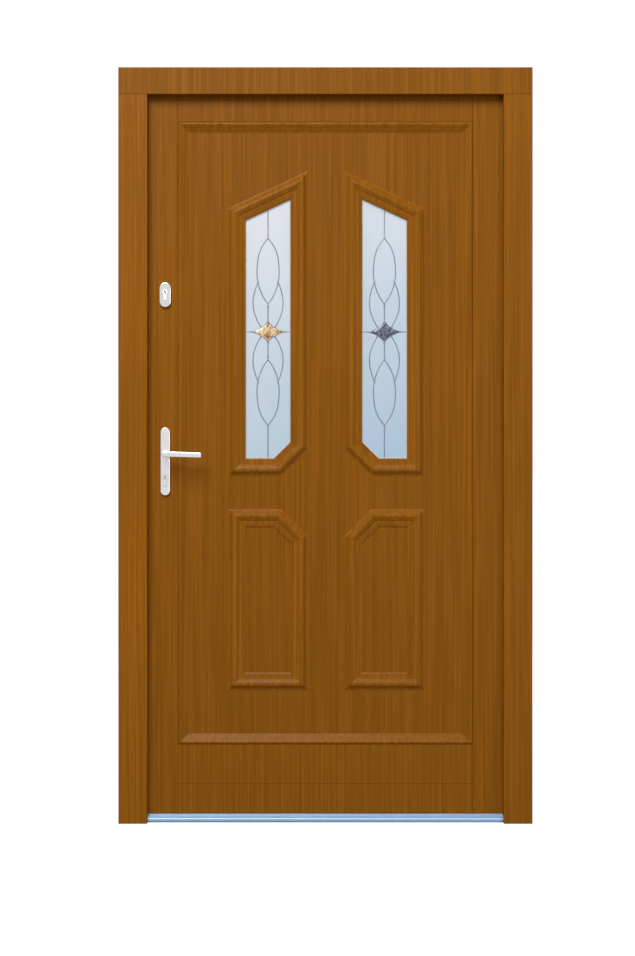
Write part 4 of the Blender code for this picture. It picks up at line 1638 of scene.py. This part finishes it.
@dataclass(frozen=True)
class Hinges:
    """Three hinges on the inside: plates with rounded corners, screws and knuckles."""

    steel: bpy.types.Material
    corner: float = 0.006
    edge: float = 0.0006
    pin_radius: float = 0.008
    plate: float = 0.003
    plate_gap: float = 0.0006
    slack: float = 0.0003
    knuckle_edge: float = 0.0007
    tab_lap: float = 0.001
    tab_gap: float = 0.0008
    screw_radius: float = 0.0042
    screw_gap: float = 0.0003
    screw_sink: float = 0.001
    screw_depths: Point = (0.0016, 0.0001)
    screw_edge: float = 0.0004
    cross: tuple[float, float, float] = (0.0023, 0.0008, 0.0004)
    cross_turns: Point = (20, 110)
    screw_places: tuple[Point, ...] = (
        (0.18, 0.36), (0.18, 0.76), (0.5, 0.56), (0.82, 0.36), (0.82, 0.76)
    )

    def build(self) -> None:
        """Makes both parts of each hinge."""
        for k in (1, 2, 3):
            self.build_part(f"hinge_{k}_frame_part", Body.FRAME, 1)
            self.build_part(f"hinge_{k}_leaf_part", Body.LEAF, -1)

    def build_part(self, node: str, body: Body, side: int) -> None:
        """Makes one part of a hinge.

        Args:
            node: The part's node.
            body: The body that it is screwed to.
            side: 1 if its plate lies at +X of the pin, else -1.
        """
        low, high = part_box(node)
        radius = self.pin_radius
        pin_x = low.x + radius if side > 0 else high.x - radius
        pin = Vector((pin_x, high.y - radius, 0))
        far = high.x if side > 0 else low.x
        near = pin_x + side * (radius + self.plate_gap)
        surface = low.y + self.plate
        plate = Bench.block(node, (min(near, far), low.y, low.z), (max(near, far), surface, high.z))
        with Bench.editing(plate):
            bpy.ops.mesh.select_all(action="DESELECT")
            mesh = bmesh.from_edit_mesh(plate.data)
            for edge in mesh.edges:
                start, end = (v.co for v in edge.verts)
                through = abs(start.y - end.y) > 0.001
                edge.select_set(through and abs(start.x - far) < 0.001)
            bmesh.update_edit_mesh(plate.data)
            bpy.ops.mesh.bevel(offset=self.corner, segments=8, affect="EDGES")
        Bench.soften(plate, self.edge)
        tall = high.z - low.z
        third, slack = tall / 3, self.slack
        if side > 0:
            spans = [(0, third - slack), (2 * third + slack, tall)]
        else:
            spans = [(third + slack, 2 * third - slack)]
        for start, end in spans:
            foot, head = (pin + Vector((0, 0, low.z + place)) for place in (start, end))
            knuckle = Bench.rod("knuckle", foot, head, radius)
            Bench.soften(knuckle, self.knuckle_edge)
            Bench.combine(plate, knuckle, "UNION")
            lap = near + side * self.tab_lap
            tab = Bench.block(
                "tab",
                (min(pin_x, lap), low.y + SEAM, low.z + start + self.tab_gap),
                (max(pin_x, lap), surface - SEAM, low.z + end - self.tab_gap),
            )
            Bench.combine(plate, tab, "UNION")
        for share, row in self.screw_places:
            self.add_screw(plate, Vector((near + (far - near) * row, surface, low.z + share * tall)))
        shaped = Bench.joined(f"{node}_shaped", [plate])
        hand_over(shaped, body, self.steel, [node], crisp=True)

    def add_screw(self, plate: bpy.types.Object, face: Vector) -> None:
        """Sinks a screw with a cross in its head into a plate.

        Args:
            plate: The plate.
            face: The screw's middle on the plate's face.
        """
        out = Vector((0, 1, 0))
        bottom, above = face - out * self.screw_sink, face + out * OVERSHOOT
        sink = Bench.rod("sink", bottom, above, self.screw_radius, 24)
        Bench.combine(plate, sink, "DIFFERENCE")
        foot, top = (face - out * depth for depth in self.screw_depths)
        head = Bench.rod("screw", foot, top, self.screw_radius - self.screw_gap, 24)
        Bench.soften(head, self.screw_edge)
        long, deep, thin = self.cross
        for turn in self.cross_turns:
            cross = Bench.block("cross", (-long, -deep, -thin), (long, OVERSHOOT, thin))
            cross.rotation_euler.y = math.radians(turn)
            cross.location = face
            Bench.combine(head, cross, "DIFFERENCE")
        Bench.combine(plate, head, "UNION")


@dataclass(frozen=True)
class Threshold:
    """The extruded threshold: a rounded nose, a ribbed slope and an upstand before the leaf."""

    aluminium: bpy.types.Material
    nose_foot: float = 0.0060
    nose_top: float = 0.017
    nose_round: float = 0.0075
    nose_end: float = 122
    base_top: float = 0.008
    base_set_back: float = 0.008
    leaf_gap: float = 0.004
    upstand: float = 0.004
    ribs: int = 3
    rib_depth: float = 0.0007
    easing: float = 0.0004
    jamb_play: float = 0.0003

    def build(self) -> None:
        """Makes the threshold and notches it round the jambs."""
        low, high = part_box("threshold")
        lip_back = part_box("stile_lock_side")[0].y - self.leaf_gap
        nose, slope_top = low.y, lip_back - self.upstand
        nose_top, foot, back = self.nose_top, self.nose_foot, nose + self.base_set_back
        run = [(nose, foot), (nose, nose_top)]
        for k in range(self.ribs):
            for share, drop in ((0.30, 0), (0.38, 1), (0.46, 1), (0.54, 0)):
                t = (k + share) / self.ribs
                y = nose + (slope_top - nose) * t
                z = nose_top + (high.z - nose_top) * t - drop * self.rib_depth
                run.append((y, z))
        run += [(slope_top, high.z), (lip_back, high.z), (lip_back, self.base_top)]
        centre = (nose + self.nose_round, nose_top - self.nose_round)
        rounded = arc(centre, (self.nose_round, self.nose_round), 180, self.nose_end, 6)
        # The arc takes the place of the run's first corner
        section = [(nose, foot), *rounded, *eased(run, self.easing)[5:]]
        section += [(high.y, self.base_top), (high.y, 0), (back, 0), (back, foot)]
        corners = [Vector((low.x, y, z)) for y, z in section]
        piece = Bench.slab("threshold_profile", corners, Vector((high.x - low.x, 0, 0)))
        jamb = abs(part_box("jamb_hinge_side")[0].x)
        for side in Side:
            near, far = side.value * (jamb - self.jamb_play), side.value * (high.x + OVERSHOOT)
            notch = Bench.block(
                "notch",
                (min(near, far), nose - OVERSHOOT, -OVERSHOOT),
                (max(near, far), lip_back + self.jamb_play, high.z + OVERSHOOT),
            )
            Bench.combine(piece, notch, "DIFFERENCE")
        hand_over(piece, Body.FRAME, self.aluminium, ["threshold"], smooth=24)


# Studio


@dataclass(frozen=True)
class Lamp:
    """A soft square lamp."""

    name: str
    place: tuple[float, float, float]
    aim: tuple[float, float, float]
    size: float
    power: float
    colour: Colour = (1.0, 1.0, 1.0)

    def build(self) -> None:
        """Sets the lamp up."""
        bpy.ops.object.light_add(type="AREA", location=self.place)
        lamp = bpy.context.object
        lamp.name = self.name
        lamp.data.size = self.size
        lamp.data.energy = self.power
        lamp.data.color = self.colour
        way = Vector(self.aim) - Vector(self.place)
        lamp.rotation_euler = way.to_track_quat("-Z", "Y").to_euler()


@dataclass(frozen=True)
class Studio:
    """A pale floor, a white surround, soft lamps and the camera."""

    camera_place: tuple[float, float, float] = (-0.022, -4.3485, 0.960)
    lens: float = 58.35
    surround: float = 0.33
    mirrored: float = 0.77
    floor_mirrored: float = 0.46
    floor_size: float = 4000.0
    floor_drop: float = 0.0005
    floor_grey: Colour = (0.30, 0.30, 0.30)
    lamps: tuple[Lamp, ...] = (
        Lamp("key", (-1.6, -5.6, 6.1), (0.0, 0.0, 1.0), 4.0, 585.0),
        Lamp("front_fill", (3.4, -5.8, 1.2), (0.0, 0.0, 1.0), 2.4, 66.0),
        Lamp("back_fill", (1.5, 4.0, 2.8), (0.0, 0.0, 1.0), 2.6, 150.0),
    )

    def build(self) -> None:
        """Sets the studio up."""
        self.build_floor()
        self.build_surround()
        for lamp in self.lamps:
            lamp.build()
        self.build_camera()
        bpy.context.scene.view_settings.view_transform = "Standard"

    def build_floor(self) -> None:
        """Lays a pale floor under the door."""
        Bench.take()
        bpy.ops.mesh.primitive_plane_add(size=self.floor_size, location=(0, 0, -self.floor_drop))
        floor = Bench.named("floor")
        material = bpy.data.materials.new("pale_floor")
        material.use_nodes = True
        wiring = Wiring(material.node_tree)
        shader = material.node_tree.nodes["Principled BSDF"]
        shader.inputs["Base Color"].default_value = (*self.floor_grey, 1.0)
        shader.inputs["Roughness"].default_value = 0.9
        shader.inputs["Specular IOR Level"].default_value = 0.0
        shader.inputs["Emission Color"].default_value = (1.0, 1.0, 1.0, 1.0)
        path = wiring.node("ShaderNodeLightPath").outputs
        mirrored = wiring.math("MULTIPLY", path["Is Glossy Ray"], self.floor_mirrored)
        seen = wiring.math("MAXIMUM", path["Is Camera Ray"], mirrored)
        material.node_tree.links.new(seen, shader.inputs["Emission Strength"])
        floor.data.materials.append(material)

    def build_surround(self) -> None:
        """Makes everything behind the door white, and lights it softly from all round."""
        world = bpy.data.worlds.new("white_surround")
        bpy.context.scene.world = world
        world.use_nodes = True
        wiring = Wiring(world.node_tree)
        shader = world.node_tree.nodes["Background"]
        path = wiring.node("ShaderNodeLightPath").outputs
        mirrored = wiring.node(
            "ShaderNodeMapRange", {0: path["Is Glossy Ray"], 3: self.surround, 4: self.mirrored}
        ).outputs[0]
        seen = wiring.math("MAXIMUM", path["Is Camera Ray"], mirrored)
        world.node_tree.links.new(seen, shader.inputs["Strength"])
        shader.inputs["Color"].default_value = (1.0, 1.0, 1.0, 1.0)

    def build_camera(self) -> None:
        """Stands the camera straight before the door."""
        bpy.ops.object.camera_add(location=self.camera_place, rotation=(math.pi / 2, 0, 0))
        camera = bpy.context.object
        camera.data.lens = self.lens
        camera.data.sensor_width = 36.0
        bpy.context.scene.camera = camera


def main() -> None:
    """Builds the looks, piece by piece, around the frame."""
    logging.basicConfig(level=logging.INFO, format="%(name)s: %(message)s")
    Finish.make_groups()

    # Each board's tone is partly the oak's own and partly painted light and shade: the lock jamb is
    # lightened as painted light, and the head, top rail and panel are darkened as painted shade; the top
    # rail is a darker copy of the rails' oak.
    boards = (
        (Oak("oak_lock_jamb", 1.0, 1.12), ["jamb_lock_side"]),
        (Oak("oak_hinge_jamb", 2.0, 0.98), ["jamb_hinge_side"]),
        (Oak("oak_head", 3.0, 0.955), ["frame_head"]),
        (Oak("oak_lock_stile", 4.0, 0.99), ["stile_lock_side"]),
        (Oak("oak_hinge_stile", 5.0, 0.96), ["stile_hinge_side"]),
        (Oak("oak_top_rail", 6.5, 0.93), ["top_rail"]),
        (Oak("oak_rails", 6.0, 0.99), ["kick_rail", "bottom_rail"]),
        (Oak("oak_panel", 7.0, 0.93), ["door_panel", "inner_bead_left", "inner_bead_right"]),
    )
    for board, nodes in boards:
        dress(nodes, board.material())
    # The mouldings' tone is likewise partly painted light.
    mouldings = Oak("oak_mouldings", 8.0, 1.04).material()

    silver = Metal("satin_silver", (0.92, 0.90, 0.88), (0.84, 0.84, 0.85), 0.22).material()
    bright = Metal("bright_silver", (0.92, 0.90, 0.88), (0.84, 0.84, 0.85), 0.10, spread=0.05).material()
    nickel = Metal("satin_nickel", (0.80, 0.80, 0.80), (0.68, 0.69, 0.70), 0.30).material()
    steel = Metal("zinc_steel", (0.58, 0.58, 0.57), (0.44, 0.44, 0.45), 0.34).material()
    # The aluminium's blue tint is a painted reflection of the sky.
    aluminium = Metal(
        "mill_aluminium",
        screen_colour(157, 184, 210),
        screen_colour(126, 155, 186),
        0.48,
        (0.01, 1, 1),
        metallic=0.8,
    ).material()
    shadow = Dull("keyway_shadow", screen_colour(46, 44, 52), screen_colour(28, 27, 32), 0.8).material()
    dress(["strike_plate", "lock_forend"], steel)

    surrounds = SurroundMoulding(mouldings)
    surrounds.build()
    PanelBead(mouldings).build()

    seal = Dull("pale_sealant", screen_colour(204, 198, 188), screen_colour(186, 182, 174)).material()
    lead = Metal("dull_lead", screen_colour(150, 156, 168), screen_colour(104, 110, 124), 0.42).material()
    # Each jewel's third colour is its painted glint.
    amber = CastGlass(
        "amber_jewel", screen_colour(240, 214, 160), screen_colour(158, 100, 44), (1.0, 0.97, 0.90)
    ).material()
    smoke = CastGlass(
        "smoke_jewel", screen_colour(120, 126, 146), screen_colour(44, 46, 60), screen_colour(168, 176, 196)
    ).material()
    # Each pane's foot and head colours are a painted reflection of the sky, bluer low and paler high.
    windows = {
        Side.LEFT: (screen_colour(185, 205, 219), screen_colour(216, 220, 225), amber, Slot.AMBER),
        Side.RIGHT: (screen_colour(171, 196, 217), screen_colour(203, 210, 217), smoke, Slot.SMOKE),
    }
    for side, (foot, head, jewel, jewel_slot) in windows.items():
        corners = surrounds.opening("window", side)
        glass = SatinGlass(f"satin_glass_{side.word}", corners[2][1], corners[0][1], foot, head)
        LeadedWindow(side, corners, glass.material(), seal, lead, jewel, jewel_slot).build()

    LockFurniture(silver, bright, nickel, steel, shadow).build()
    Hinges(steel).build()
    Threshold(aluminium).build()
    Studio().build()


if __name__ == "__main__":
    main()
